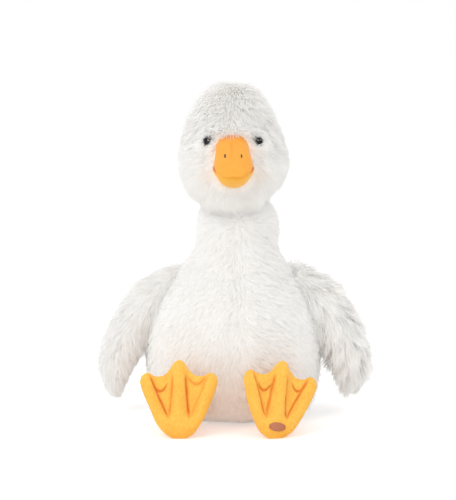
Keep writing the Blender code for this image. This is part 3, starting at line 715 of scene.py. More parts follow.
def make_pile_group():
    """Geometry Nodes that grow curved strands, gathered in locks, from a combed skin."""
    kinds = {title: "Float" for title in ("Density", *SHAGGY_WING_PILE)}
    kinds.update({"Strand": "Object", "Cover": "String", "Seed": "Int", "Material": "Material"})
    group, identifiers = new_group("pile", kinds)
    tree = Tree(group)
    given = tree.add("NodeGroupInput")
    skin = given["Geometry"]

    cover = tree.attribute(given["Cover"])
    settings = {"distribute_method": "RANDOM"}
    inputs = {"Mesh": skin, "Density": given["Density"] * cover, "Seed": given["Seed"]}
    sown = tree.add("GeometryNodeDistributePointsOnFaces", settings, inputs)
    inputs = {"Mesh": skin, "Density": given["Lock Size"] ** -2.0, "Seed": given["Seed"] + 1}
    locks = tree.add("GeometryNodeDistributePointsOnFaces", settings, inputs)["Points"]
    place = tree.add("GeometryNodeInputPosition")["Position"]
    inputs = {"Geometry": locks, "Sample Position": place}
    lock = tree.add("GeometryNodeSampleNearest", {"domain": "POINT"}, inputs)["Index"]
    settings = {"data_type": "FLOAT_VECTOR", "domain": "POINT"}
    inputs = {"Geometry": locks, "Value": place, "Index": lock}
    lock_place = tree.add("GeometryNodeSampleIndex", settings, inputs)["Value"]
    number = tree.add("GeometryNodeInputIndex")["Index"]

    def chance(low, high, seed, who=number):
        inputs = {2: low, 3: high, "ID": who, "Seed": seed}
        return tree.add("FunctionNodeRandomValue", {"data_type": "FLOAT"}, inputs)[1]

    def scatter(who, seed):
        inputs = {0: (-1.0, -1.0, -1.0), 1: (1.0, 1.0, 1.0), "ID": who, "Seed": seed}
        return tree.add("FunctionNodeRandomValue", {"data_type": "FLOAT_VECTOR"}, inputs)[0]

    ripple = tree.noise(place, 1.0 / given["Wave Size"], 1.0)["Color"] - NOISE_MIDDLE
    stray = chance(0.0, 1.0, 15) ** STRAY_RARITY
    sway = ripple * given["Wave"] + scatter(lock, 11) * given["Lock Sway"]
    sway = sway + scatter(number, 12) * (given["Frizz"] + stray * given["Strays"])
    comb = tree.attribute("comb", "FLOAT_VECTOR")
    out = sown["Normal"]
    start = tree.vector_maths("NORMALIZE", out * given["Lift"] + comb + sway * START_SWAY)
    end = out * (given["Lift"] * END_LIFT) + comb + sway - given["Droop"] * UP
    end = tree.vector_maths("NORMALIZE", end)
    uneven = 1.0 - given["Unevenness"] * chance(0.0, 1.0, 13)
    length = given["Length"] * tree.attribute("pile") * uneven
    length = length * (1.0 + stray * given["Strays"] * STRAY_LENGTH)
    settings = {"rotation_type": "AXIS_ANGLE"}
    lie = tree.vector_maths("NORMALIZE", start + end)
    level = tree.vector_maths("NORMALIZE", tree.vector_maths("CROSS_PRODUCT", lie, out))
    inputs = {"Vector": level, "Axis": lie}
    inputs["Angle"] = chance(-STRAND_TURN, STRAND_TURN, 14)
    across = tree.add("ShaderNodeVectorRotate", settings, inputs)["Vector"]
    points = sown["Points"]
    kept = {
        "root_place": place,
        "start_way": start * length,
        "end_way": end * length,
        "lock_way": (lock_place - place) * given["Locking"],
        "edge_way": across * given["Width"],
    }
    for name, value in kept.items():
        points = tree.store(points, name, value, "FLOAT_VECTOR")
    # Random tone for each strand and each lock, plus painted shade that darkens the head's and wings' pile
    shade = chance(0.0, SHADE_SPREAD, 16) + chance(0.0, SHADE_SPREAD, 17, lock)
    points = tree.store(points, "shade", shade + given["Painted Shade"])

    blade = tree.add("GeometryNodeObjectInfo", {}, {"Object": given["Strand"]})["Geometry"]
    inputs = {"Points": points, "Instance": blade}
    grown = tree.add("GeometryNodeInstanceOnPoints", {}, inputs)["Instances"]
    grown = tree.add("GeometryNodeRealizeInstances", {}, {"Geometry": grown})["Geometry"]
    along = tree.attribute("along")
    curved = along * along * 0.5
    root, first, last, gather, edge = [tree.attribute(name, "FLOAT_VECTOR") for name in kept]
    target = root + first * (along - curved) + last * curved + gather * (along ** GATHER_POWER)
    target = target + edge * tree.attribute("side")
    inputs = {"Geometry": grown, "Position": target}
    grown = tree.add("GeometryNodeSetPosition", {}, inputs)["Geometry"]
    tree.close_group(grown, given["Material"])
    return group, identifiers


PILE_GROUP, PILE_INPUTS = make_pile_group()


def grow_pile(name, skin, blade, strands, sizes, material, cover="cover"):
    """Grows about so many strands on a skin, as one mesh that lies on the floor where it reaches it."""
    helper = link_object(name + "_helper", skin.data.copy())
    grower = helper.modifiers.new("pile", "NODES")
    grower.node_group = PILE_GROUP
    density = strands / covered_area(skin.data, cover)
    values = dict(sizes, Strand=blade, Density=density, Seed=SEED, Material=material, Cover=cover)
    for title, value in values.items():
        grower[PILE_INPUTS[title]] = value
    pile = finished(helper, name)
    mesh = pile.data
    for extra in STRAND_HELPERS + SKIN_HELPERS:
        if extra in mesh.attributes:
            mesh.attributes.remove(mesh.attributes[extra])
    places = places_of(mesh)
    places[:, 2] = np.maximum(places[:, 2], LOWEST_STRAND_Z)
    move_vertices(mesh, places)
    return pile


def eye_axis(node):
    """The middle of the back of an eye's flange and its outward direction, from the eye's own shape."""
    shape = node_copy("eye_helper", node)
    places = places_of(shape.data)
    discard(shape)
    middle = places.mean(axis=0)
    way = Vector(np.linalg.svd(places - middle)[2][0])
    if way.y > 0.0:
        way = -way
    way.normalize()
    reach = max(way.dot(Vector(place) - Vector(middle)) for place in places)
    return Vector(middle) + way * (reach - EYE_DOME - EYE_FLANGE), way


EYES = {side: eye_axis(side + "_eye") for side in ("left", "right")}


def open_round_eyes(place, way, pile, cover, sunk):
    """Lays the head's pile open round each eye, with a low lid of denser and shorter pile beside it."""
    for side, (middle, outward) in EYES.items():
        shift, half_width, half_height = EYE_OPENINGS[side]
        from_eye = place - middle
        level = from_eye - outward * from_eye.dot(outward)
        beside = level.dot(UP.cross(outward).normalized()) - shift
        opening = math.hypot(beside / half_width, level.z / half_height)
        near = smooth_step(LID_REACH, EYE_RADIUS * LID_CLOSENESS, from_eye.length)
        way = way * (1.0 - LID_LOOSER * near) + level.normalized() * LID_SPREAD * near
        pile *= 1.0 - LID_SHORTER * near
        sunk = sunk * (1.0 - near) - LID_RISE * near * smooth_step(*LID_RISE_FROM, opening)
        if near > 0.0:
            cover *= smooth_step(*LID_EDGE, opening) * (1.0 + LID_THICKNESS * near)
    return way, pile, cover, sunk


def head_comb(place, normal):
    """Forehead pile parts and falls to the bill, cheeks and chin sweep away from it, and the back lies down.

    A whorl spreads over the crown. The skin rises to the pile's outer face round the root of the bill.
    """
    face = smooth_step(*FACE_Y, place.y)
    side = max(-1.0, min(1.0, (place.x - FOREHEAD_PART) / PART_WIDTH))
    above = smooth_step(*BROW_Z, place.z)
    chin = smooth_step(*CHIN_Z, place.z)
    from_bill = Vector((place.x - BILL_ROOT.x, 0.0, place.z - BILL_ROOT.z)).normalized()
    forehead = Vector((side * FOREHEAD_SPREAD, 0.0, -1.0))
    under = Vector((side * CHIN_SPREAD, 0.0, -1.0))
    front = forehead * above + ((from_bill + CHEEK_FALL) * (1.0 - chin) + under * chin) * (1.0 - above)
    behind = Vector((side * BACK_SPREAD, HEAD_BACK_DRIFT, -1.0))
    way = (front * face + behind * (1.0 - face)).normalized()
    crown = smooth_step(*CROWN_TILT, normal.z)
    way = way * (1.0 - crown) + (place - WHORL).normalized() * WHORL_STRENGTH * crown

    jowl = smooth_step(*JOWL_Z, place.z)
    ruffled = smooth_step(*RUFFLED_X, place.x)
    throat = face * smooth_step(*THROAT_X, abs(place.x)) * chin
    nape = smooth_step(*NAPE_Y, place.y)
    left_jowl = smooth_step(*LEFT_JOWL_Z, place.z) * smooth_step(*LEFT_JOWL_X, place.x)
    left_crown = smooth_step(*LEFT_CROWN_Z, place.z) * smooth_step(*LEFT_CROWN_X, place.x)
    pile = (1.0 + CROWN_LONGER * crown) * (1.0 + THROAT_LONGER * throat)
    pile *= 1.0 - JOWL_SHORTER * jowl * (1.0 - throat) * (1.0 - nape) + NAPE_LONGER * jowl * nape
    pile *= (1.0 - LEFT_JOWL_SHORTER * left_jowl) * (1.0 + LEFT_CROWN_LONGER * left_crown)
    pile *= 1.0 + RUFFLE * ruffled * crumple(place * RUFFLE_SCALE)

    across = abs(place.x - BILL_ROOT.x) / BILL_ROOT_HALF_WIDTH
    up = abs(place.z - BILL_ROOT.z) / BILL_ROOT_HALF_HEIGHT
    from_root = (across ** BILL_ROOT_POWER + up ** BILL_ROOT_POWER) ** (1.0 / BILL_ROOT_POWER)
    cover = 1.0 - face * smooth_step(*BILL_ROOT_BARE, from_root)
    pile *= 1.0 - BESIDE_BILL_SHORTER * face * smooth_step(*BESIDE_BILL, from_root) * (1.0 - above)
    way *= 1.0 - OVER_BILL_LOOSER * face * above * smooth_step(*OVER_BILL, from_root)
    # Painted bounce light from the bill, as a peach tint near the mouth corners
    corner = Vector((abs(place.x - BILL_ROOT.x), place.y, place.z)) - BOUNCE_CORNER
    painted_bounce = PAINTED_BOUNCE * smooth_step(*BOUNCE_REACH, corner.length)
    raised = face * smooth_step(ROOT_RISE_START + ROOT_RISE_ABOVE * above, ROOT_RISE_END, from_root)
    sunk = (1.0 - CROWN_RAISED * crown - LEFT_CROWN_RAISED * left_crown) * (1.0 - raised)
    way, pile, cover, sunk = open_round_eyes(place, way, pile, cover, sunk)
    return way, pile, cover, painted_bounce, sunk


def torso_comb(place, normal):
    """The front parts down its seam, short and smooth on the goose's right and almost level on its left.

    The back lies down. Round the neck the pile turns through sideways to up, as a dense collar.
    """
    front = smooth_step(*FRONT_Y, place.y)
    side = max(-1.0, min(1.0, (place.x - CHEST_PART) / PART_WIDTH))
    low = smooth_step(*LAP_Z, place.z)
    neck = smooth_step(*NECK_Z, place.z)
    left, right = max(0.0, side), max(0.0, -side)
    spread = side * (CHEST_SPREAD + LEFT_CHEST_SPREAD * left) * (1.0 - LAP_NARROWING * low)
    fall = -1.0 + LEFT_CHEST_LEVEL * left * (1.0 - low)
    behind = Vector((BACK_SPREAD * side, TORSO_BACK_DRIFT, -1.0))
    way = Vector((spread, 0.0, fall)) * front + behind * (1.0 - front)
    way = way.normalized() * (1.0 - CHEST_LOOSER * front * (1.0 - LEFT_CHEST_FIRMER * left))
    collar = smooth_step(*COLLAR_Z, place.z)
    around = Vector((side * COLLAR_WAY.x, (1.0 - front) * COLLAR_WAY.y, COLLAR_WAY.z))
    way = way * (1.0 - collar) + around * collar

    beside_wing = smooth_step(*WING_PIT_X, abs(place.x)) * (1.0 - low)
    pit_shorter = (WING_PIT_SHORTER + LEFT_WING_PIT_SHORTER * left) * beside_wing
    pile = (1.0 - RIGHT_CHEST_SHORTER * front * right) * (1.0 - pit_shorter)
    pile *= 1.0 - NECK_SHORTER * neck + COLLAR_LONGER * collar
    # Painted bounce light from the feet, as a peach tint low on the front
    painted_bounce = LAP_PAINTED_BOUNCE * front * smooth_step(*LAP_PAINTED_BOUNCE_Z, place.z)
    under_chin = front * collar * smooth_step(*UNDER_CHIN_X, abs(place.x))
    return way, pile, 1.0 + COLLAR_DENSER * collar, painted_bounce, 1.0 - UNDER_CHIN_RAISED * under_chin


def wing_comb(place, normal):
    """Out from the shoulder and then straight down, and inwards where a wing lies against the belly."""
    side = math.copysign(1.0, place.x)
    shoulder = smooth_step(*SHOULDER_Z, place.z)
    tip = smooth_step(*WING_TIP_Z, place.z)
    inner = smooth_step(*WING_INNER_TILT, normal.x * side) * (1.0 - shoulder)
    sideways = SHOULDER_SPREAD * shoulder - WING_INWARD - WING_INNER_INWARD * inner
    way = Vector((side * sideways, WING_DRIFT, -1.0))
    shorter = WING_SHORTER["left" if side > 0.0 else "right"]
    tip_shorter = shorter["tip"] * tip
    if side > 0.0:
        tip_shorter *= 1.0 - WING_INNER_TIP_LONGER * inner
    return way.normalized(), 1.0 - shorter["shoulder"] * shoulder - tip_shorter, 1.0, 0.0, 1.0


def tail_comb(place, normal):
    """Back and down over the tuft, in a fan."""
    way = Vector((place.x * TAIL_FAN, TAIL_BACK, -TAIL_DOWN)).normalized()
    return way, TAIL_LENGTH_SHARE, 1.0, 0.0, 1.0


def new_material(name):
    """An empty material, and its tree."""
    material = bpy.data.materials.new(name)
    material.use_nodes = True
    material.node_tree.nodes.clear()
    return material, Tree(material.node_tree)


def close_material(tree, shader):
    tree.add("ShaderNodeOutputMaterial", {}, {"Surface": shader})


def make_pile_material():
    """White acrylic pile that lets some light through, streaked at random, with painted shade on the head
    and wings and painted orange bounce light beside the orange velour.
    """
    material, tree = new_material("white_pile")
    # Random streaks, and painted shade on the head and wings, darken the white
    base = tree.mix(tree.painted("shade") ** PILE_SHADE_POWER, colour(WHITE), colour(SHADED_WHITE))
    # Painted orange bounce light, mixed in as far as the skin gives it
    base = tree.mix(tree.painted("painted_bounce"), base, colour(BOUNCE_PEACH))
    hair = tree.principled({"Base Color": base, "Specular IOR Level": 0.0})
    through = tree.add("ShaderNodeBsdfTranslucent", {}, {"Color": colour(WHITE)})["BSDF"]
    inputs = {0: PILE_THROUGH, 1: hair, 2: through}
    close_material(tree, tree.add("ShaderNodeMixShader", {}, inputs)["Shader"])
    return material


def make_backing_material():
    """The knitted backing that the pile grows from."""
    material, tree = new_material("pile_backing")
    knit = tree.noise(tree.object_place(), KNIT_SCALE)["Fac"]
    base = tree.mix(knit, colour(BACKING_WHITE), colour(WHITE))
    normal = tree.bump(knit, *BACKING_BUMP)
    inputs = {"Base Color": base, "Roughness": BACKING_ROUGHNESS, "Normal": normal}
    close_material(tree, tree.principled(inputs))
    return material


def make_velour_material():
    """Orange velour with painted light where a piece asks for it, painted shade in its grooves and creases,
    and darker where the nap is pushed over.
    """
    material, tree = new_material("orange_velour")
    place = tree.object_place()
    # Painted light: lighter orange as far as the piece's share says
    base = tree.mix(tree.painted("painted_light"), colour(VELOUR_LIGHT), colour(VELOUR_PAINTED_LIGHT))
    pushed = tree.noise(place, PUSHED_SCALE, PUSHED_DETAIL)["Fac"]
    pushed = tree.between(pushed, *PUSHED_RANGE) * PUSHED_SHOW
    fibres = tree.noise(place * FIBRE_STRETCH, FIBRE_SCALE)["Fac"]
    deep = pushed + tree.between(fibres, *FIBRE_RANGE) * FIBRE_SHOW
    base = tree.mix(deep, base, colour(VELOUR_DEEP))
    # Painted shade in grooves, folds and the mouth crease
    base = tree.mix(tree.painted("seam"), base, colour(VELOUR_CREASE_SHADE))
    normal = tree.bump(tree.noise(place, NAP_SCALE)["Fac"], *VELOUR_BUMP)
    close_material(tree, tree.principled({"Base Color": base, "Normal": normal, **VELOUR_FINISH}))
    return material


def make_gloss_material(name, rgb, roughness):
    """Moulded plastic, with a faint unevenness in its gloss."""
    material, tree = new_material(name)
    uneven = tree.noise(tree.object_place(), GLOSS_SCALE)["Fac"] * GLOSS_UNEVENNESS + roughness
    inputs = {"Base Color": colour(rgb), "Roughness": uneven, "Specular IOR Level": GLOSS_SPECULAR}
    close_material(tree, tree.principled(inputs))
    return material


def make_thread_material(name, rgb):
    """Twisted sewing thread."""
    material, tree = new_material(name)
    fibre = tree.noise(tree.object_place(), THREAD_SCALE)["Fac"]
    shaded = colour([THREAD_SHADE * part for part in rgb])
    base = tree.mix(fibre * THREAD_SHADE_SHOW, colour(rgb), shaded)
    normal = tree.bump(fibre, *THREAD_BUMP)
    inputs = {"Base Color": base, "Roughness": THREAD_ROUGHNESS, "Normal": normal}
    close_material(tree, tree.principled(inputs))
    return material


def foot_stance(aside, roll, yaw):
    """Stands a foot on its heel: +X across, +Y up the sole and +Z ahead turn to the goose's directions."""
    stand = Matrix.Rotation(math.radians(90.0 - FOOT_LEAN), 4, "X")
    turn = Matrix.Rotation(math.radians(yaw), 4, "Z")
    tip = Matrix.Rotation(math.radians(-roll), 4, "Z")
    return Matrix.Translation((aside, HEEL_Y, -FOOT_SINK)) @ turn @ stand @ tip


def crumple(place):
    """A soft unevenness of stuffed cloth, from -1 to 1, where two bent waves cross."""
    x, y, z = place / CRUMPLE_SIZE
    turns = (CRUMPLE_PITCHES[0] * z, CRUMPLE_PITCHES[1] * x + y)
    first, second = [bend * math.sin(turn) for bend, turn in zip(CRUMPLE_BENDS, turns)]
    return (math.sin(x + first) + math.sin(CRUMPLE_STRETCH * z + second)) / 2


def groove(distance, width):
    return math.exp(-((distance / width) ** 2))


def shape_velour(thing, rule):
    """Moves each vertex by a rule that gives a move and a seam share for its place and normal; the share
    also sets painted shade in grooves and creases.
    """
    mesh = thing.data
    moved, crease_shades = [], []
    for place, normal in zip(places_of(mesh), normals_of(mesh)):
        move, seam = rule(Vector(place), Vector(normal))
        moved.append(Vector(place) + move)
        crease_shades.append(seam)
    move_vertices(mesh, moved)
    put_attribute(mesh, "seam", "FLOAT", crease_shades)
    mesh.shade_smooth()


def foot_rule(stance, toe_lines, folds):
    """Three toes stand out from thin webs, with sewn grooves beside them and a fold in each web; grooves and
    folds also get painted shade.
    """
    back = stance.inverted()

    def rule(place, normal):
        across, up, _ = back @ place
        aside = abs(across)
        inner_line = MIDDLE_TOE_TOP + MIDDLE_TOE_SPREAD * (1.0 - up / WEB_TOP)
        outer_line = SIDE_TOE_TOP - SIDE_TOE_SLOPE * (WEB_TOP - up)
        half = int(across > 0.0)
        inner = groove(aside - inner_line, TOE_GROOVE_WIDTH) * toe_lines["inner"][half]
        outer = groove(aside - outer_line, TOE_GROOVE_WIDTH) * toe_lines["outer"][half]
        seam = max(inner, outer)
        seam *= smooth_step(*TOE_LINE_FOOT, up) * smooth_step(*TOE_LINE_TOP, up)
        web = smooth_step(inner_line, inner_line + WEB_EDGE, aside)
        web *= smooth_step(outer_line, outer_line - WEB_EDGE, aside)
        fold = 0.0
        for fold_across, fold_low, fold_width, depth in folds:
            bow = fold_low + WEB_FOLD_HEIGHT * ((across - fold_across) / fold_width) ** 2
            start, end = [share * fold_width for share in WEB_FOLD_ENDS]
            near = smooth_step(start, end, abs(across - fold_across))
            fold = max(fold, groove(up - bow, WEB_FOLD_WIDTH) * near * depth)
        seam = max(seam, fold)
        plump = CRUMPLE * crumple(place) * (1.0 - seam)
        lift = plump - TOE_GROOVE * seam - WEB_SINK * web * smooth_step(*WEB_RISE, up)
        return normal * lift * smooth_step(*HEEL_Z, place.z), seam ** TOE_LINE_SPREAD

    return rule


def bill_rule(other, corner_move):
    """A seam down the middle of the bill's top, squarer shoulders, and a crease along the mouth; seam and
    crease also get painted shade.

    The corner move says how far the corner of the mouth goes out and up in this half of the bill.
    """
    facing = surface_of(other)
    outward, upward = corner_move

    def rule(place, normal):
        side = math.copysign(1.0, place.x)
        reach = smooth_step(*BILL_SEAM_Y, place.y) * smooth_step(*BILL_SEAM_TILT, normal.z)
        seam = BILL_SEAM_SHOW * groove(place.x - BILL_SEAM_X, BILL_SEAM_WIDTH) * reach
        _, _, _, distance = facing.find_nearest(place)
        mouth = groove(distance, MOUTH_WIDTH)
        corner = smooth_step(*MOUTH_CORNER_X, abs(place.x)) * smooth_step(*MOUTH_LIP, distance)
        shoulder = smooth_step(*BILL_SHOULDER_Z, place.z) * smooth_step(*BILL_SHOULDER_TILT, abs(normal.x))
        lift = BILL_CRUMPLE * CRUMPLE * crumple(place) - BILL_SEAM_DEPTH * seam
        squarer = BILL_SHOULDER * shoulder * (1.0 - BILL_SHOULDER_SKEW * side)
        sideways = side * (outward * corner + squarer)
        return normal * lift + Vector((sideways, 0.0, upward * corner)), max(seam, mouth)

    return rule


def leg_rule(place, normal):
    return normal * CRUMPLE * crumple(place), 0.0


def make_velour_piece(name, node, rule, material, painted_light=0.0):
    """A stuffed velour piece in place of a CAD node; the last argument says how far painted light brightens
    its colour.
    """
    piece = even_copy(name, node, VELOUR_VOXEL, VELOUR_SMOOTHING)
    shape_velour(piece, rule)
    put_attribute(piece.data, "painted_light", "FLOAT", [painted_light] * len(piece.data.vertices))
    piece.data.materials.append(material)
    return piece


def make_eye(name, side, material):
    """A domed eye with its flange and shank, turned about its axis."""
    seat, way = EYES[side]
    profile = [
        (0.0, -SHANK_LENGTH),
        (SHANK_RADIUS * SHANK_TIP_SHARE, -SHANK_LENGTH),
        (SHANK_RADIUS, -SHANK_LENGTH + SHANK_BEVEL),
        (SHANK_RADIUS, 0.0),
        (EYE_RADIUS * FLANGE_BACK_SHARE, 0.0),
        (EYE_RADIUS, EYE_FLANGE * FLANGE_EDGE_SHARE),
    ]
    for step in range(EYE_DOME_RINGS):
        angle = 0.5 * math.pi * step / EYE_DOME_RINGS
        profile.append((EYE_RADIUS * math.cos(angle), EYE_FLANGE + EYE_DOME * math.sin(angle)))
    profile.append((0.0, EYE_FLANGE + EYE_DOME))
    shape = bmesh.new()
    corners = [shape.verts.new((radius, 0.0, height)) for radius, height in profile]
    edges = [shape.edges.new(pair) for pair in zip(corners, corners[1:])]
    turned = {"cent": (0, 0, 0), "axis": (0, 0, 1), "angle": 2.0 * math.pi, "steps": EYE_SIDES}
    bmesh.ops.spin(shape, geom=corners + edges, use_merge=True, **turned)
    bmesh.ops.remove_doubles(shape, verts=shape.verts, dist=SAME_PLACE_ON_EYE)
    bmesh.ops.recalc_face_normals(shape, faces=shape.faces)
    place = Matrix.Translation(seat) @ way.to_track_quat("Z", "Y").to_matrix().to_4x4()
    bmesh.ops.transform(shape, matrix=place, verts=shape.verts)
    mesh = mesh_from(shape, name)
    mesh.shade_smooth()
    mesh.set_sharp_from_angle(angle=math.radians(EYE_SHARP_ANGLE))
    mesh.materials.append(material)
    return link_object(name, mesh)


def tube(shape, path, radius, sides=THREAD_SIDES):
    """Adds a round thread along a path to a bmesh, closed at both ends."""
    loops = []
    for i, point in enumerate(path):
        along = (path[min(i + 1, len(path) - 1)] - path[max(i - 1, 0)]).normalized()
        first = along.orthogonal().normalized()
        second = along.cross(first)
        ring = []
        for side in range(sides):
            angle = 2.0 * math.pi * side / sides
            outward = first * math.cos(angle) + second * math.sin(angle)
            ring.append(shape.verts.new(point + outward * radius))
        loops.append(ring)
    for low, high in zip(loops, loops[1:]):
        for i in range(sides):
            shape.faces.new((low[i - 1], low[i], high[i], high[i - 1]))
    shape.faces.new(loops[0][::-1])
    shape.faces.new(loops[-1])


def make_nostril(name, side, bill, material):
    """A short bar of black threads side by side, sewn through the top of the bill."""
    node = node_copy("nostril_helper", side + "_nostril")
    places = places_of(node.data)
    discard(node)
    middle = places.mean(axis=0)
    along = Vector(np.linalg.svd(places - middle)[2][0]).normalized()
    surface, outward, _, _ = bill.find_nearest(Vector(middle))
    across = along.cross(outward).normalized()
    shape = bmesh.new()
    for thread in range(NOSTRIL_THREADS):
        from_middle = thread - (NOSTRIL_THREADS - 1) / 2
        offset = from_middle * NOSTRIL_THREAD * NOSTRIL_THREAD_GAP
        length = NOSTRIL_LENGTH * (1.0 - NOSTRIL_STAGGER * abs(from_middle))
        path = []
        for step in range(NOSTRIL_STEPS + 1):
            share = 2 * step / NOSTRIL_STEPS - 1.0
            rise = NOSTRIL_BOW * (1.0 - share ** 4) - NOSTRIL_SINK * NOSTRIL_THREAD
            path.append(surface + along * (share * length / 2) + across * offset + outward * rise)
        tube(shape, path, NOSTRIL_THREAD)
    mesh = mesh_from(shape, name)
    mesh.shade_smooth()
    mesh.materials.append(material)
    return link_object(name, mesh)


def make_satin_group():
    """Geometry Nodes that lay threads side by side to fill an oval."""
    kinds = {title: "Float" for title in ("Width", "Height", "Thread")}
    kinds.update({"Rows": "Int", "Material": "Material"})
    group, identifiers = new_group("satin_stitch", kinds)
    tree = Tree(group)
    given = tree.add("NodeGroupInput")
    settings = {"mode": "OFFSET", "count_mode": "TOTAL"}
    rows = tree.add("GeometryNodeMeshLine", settings, {"Count": given["Rows"]})["Mesh"]
    row = tree.add("GeometryNodeInputIndex")["Index"]
    share = (row + 0.5) / given["Rows"] * 2.0 - 1.0
    chord = (1.0 - share * share) ** 0.5
    place = tree.add("ShaderNodeCombineXYZ", {}, {"Y": share * given["Height"] * 0.5})["Vector"]
    inputs = {"Geometry": rows, "Position": place}
    points = tree.add("GeometryNodeSetPosition", {}, inputs)["Geometry"]
    inputs = {"Start": (-0.5, 0.0, 0.0), "End": (0.5, 0.0, 0.0)}
    line = tree.add("GeometryNodeCurvePrimitiveLine", {}, inputs)["Curve"]
    line = tree.add("GeometryNodeResampleCurve", {}, {"Curve": line, "Count": PATCH_STEPS})["Curve"]
    inputs = {"Resolution": THREAD_SIDES, "Radius": given["Thread"] * PATCH_THREAD_PLUMPNESS}
    circle = tree.add("GeometryNodeCurvePrimitiveCircle", {}, inputs)["Curve"]
    inputs = {"Curve": line, "Profile Curve": circle, "Fill Caps": True}
    thread = tree.add("GeometryNodeCurveToMesh", {}, inputs)["Mesh"]
    inputs = {"X": chord * given["Width"], "Y": 1.0, "Z": 1.0}
    size = tree.add("ShaderNodeCombineXYZ", {}, inputs)["Vector"]
    inputs = {"Points": points, "Instance": thread, "Scale": size}
    threads = tree.add("GeometryNodeInstanceOnPoints", {}, inputs)["Instances"]
    threads = tree.add("GeometryNodeRealizeInstances", {}, {"Geometry": threads})["Geometry"]
    tree.close_group(threads, given["Material"])
    return group, identifiers


def make_patch(name, stance, material):
    """The plain oval of satin stitches, laid on the curve of the left sole."""
    group, identifiers = make_satin_group()
    helper = link_object(name + "_helper", bpy.data.meshes.new(name))
    sewer = helper.modifiers.new("satin", "NODES")
    sewer.node_group = group
    values = {"Rows": PATCH_ROWS, "Width": PATCH_WIDTH, "Height": PATCH_HEIGHT, "Thread": PATCH_THREAD}
    for title, value in dict(values, Material=material).items():
        sewer[identifiers[title]] = value
    patch = finished(helper, name)
    sole = surface_of("left_foot", "sole_patch")
    toward = stance.to_3x3() @ Vector((0.0, 0.0, -1.0))
    laid = []
    for x, y, z in places_of(patch.data):
        hit = sole.ray_cast(stance @ (PATCH_MIDDLE + Vector((x, y, 0.0))), toward)[0]
        laid.append(hit - toward * z)
    move_vertices(patch.data, laid)
    patch.data.shade_smooth()
    return patch


def place_piece(piece, slot, *nodes, fill=None):
    """Attaches a finished piece to its body and hides the CAD nodes that it stands for; the slot and fill
    are not used.
    """
    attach(piece, BODY)
    if nodes:
        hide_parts(*nodes)


def dress_cad_node(node, material):
    """Keeps a CAD node as it is, with a finished material."""
    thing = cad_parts[node]
    thing.data.materials.clear()
    thing.data.materials.append(material)


def make_white_parts(pile_material, backing):
    """Head, torso, wings and tail, each a skin with its pile."""
    blade, long_blade = make_blade(BLADE_SEGMENTS), make_blade(WING_BLADE_SEGMENTS)
    head = make_skin("head_skin", "head", ("torso",), HEAD_PILE_DEPTH, head_comb, HEAD_SKIN_VOXEL)
    torso = make_skin("torso_skin", "torso", ("head",), TORSO_PILE_DEPTH, torso_comb)
    cover = attribute_of(torso.data, "cover")
    front = np.array([smooth_step(*FRONT_HALF_Y, vertex.co.y) for vertex in torso.data.vertices])
    put_attribute(torso.data, "front_cover", "FLOAT", cover * front)
    put_attribute(torso.data, "back_cover", "FLOAT", cover * (1.0 - front))
    tail = make_skin("tail_skin", "tail", ("torso",), TAIL_PILE_DEPTH, tail_comb)
    grown = [
        (head, "head", grow_pile("head_pile", head, blade, HEAD_STRANDS, HEAD_PILE, pile_material)),
        (tail, "tail", grow_pile("tail_pile", tail, blade, TAIL_STRANDS, TORSO_PILE, pile_material)),
    ]
    for region, strands in (("front", FRONT_STRANDS), ("back", BACK_STRANDS)):
        name = "torso_pile_" + region
        pile = grow_pile(name, torso, blade, strands, TORSO_PILE, pile_material, region + "_cover")
        grown.append((torso, "torso", pile))
    for side in ("left", "right"):
        node = side + "_wing"
        wing = make_skin(node + "_skin", node, ("torso",), WING_PILE_DEPTH, wing_comb)
        sizes = SHAGGY_WING_PILE if side == "left" else SMOOTH_WING_PILE
        pile = grow_pile(node + "_pile", wing, long_blade, WING_STRANDS, sizes, pile_material)
        grown.append((wing, node, pile))
    discard(blade)
    discard(long_blade)
    skins = {}
    for skin, node, pile in grown:
        place_piece(pile, "white_pile", node)
        skins[node] = skin
    for node, skin in skins.items():
        skin.data.materials.append(backing)
        skin.data.shade_smooth()
        place_piece(skin, "white_pile", node, fill=PILE_FILL)


def make_orange_parts(velour):
    """Bill, legs and feet of stuffed velour; gives back the surface of the upper bill."""
    halves = (("upper_bill", "lower_bill", UPPER_CORNER), ("lower_bill", "upper_bill", LOWER_CORNER))
    bill = {}
    for node, other, corner_move in halves:
        rule = bill_rule(other, corner_move)
        bill[node] = make_velour_piece(node + "_velour", node, rule, velour, BILL_PAINTED_LIGHT[node])
        place_piece(bill[node], "orange_velour", node, fill=BILL_FILL)
    feet = (
        ("left", LEFT_STANCE, LEFT_TOE_LINES, LEFT_FOLDS),
        ("right", RIGHT_STANCE, RIGHT_TOE_LINES, RIGHT_FOLDS),
    )
    for side, values, toe_lines, folds in feet:
        rule = foot_rule(foot_stance(**values), toe_lines, folds)
        node = side + "_foot"
        foot = make_velour_piece(node + "_velour", node, rule, velour, FOOT_PAINTED_LIGHT)
        place_piece(foot, "orange_velour", node, fill=FOOT_FILL)
        node = side + "_leg"
        leg = make_velour_piece(node + "_velour", node, leg_rule, velour)
        place_piece(leg, "orange_velour", node, fill=LEG_FILL)
    return surface_of_meshes(bill["upper_bill"].data)


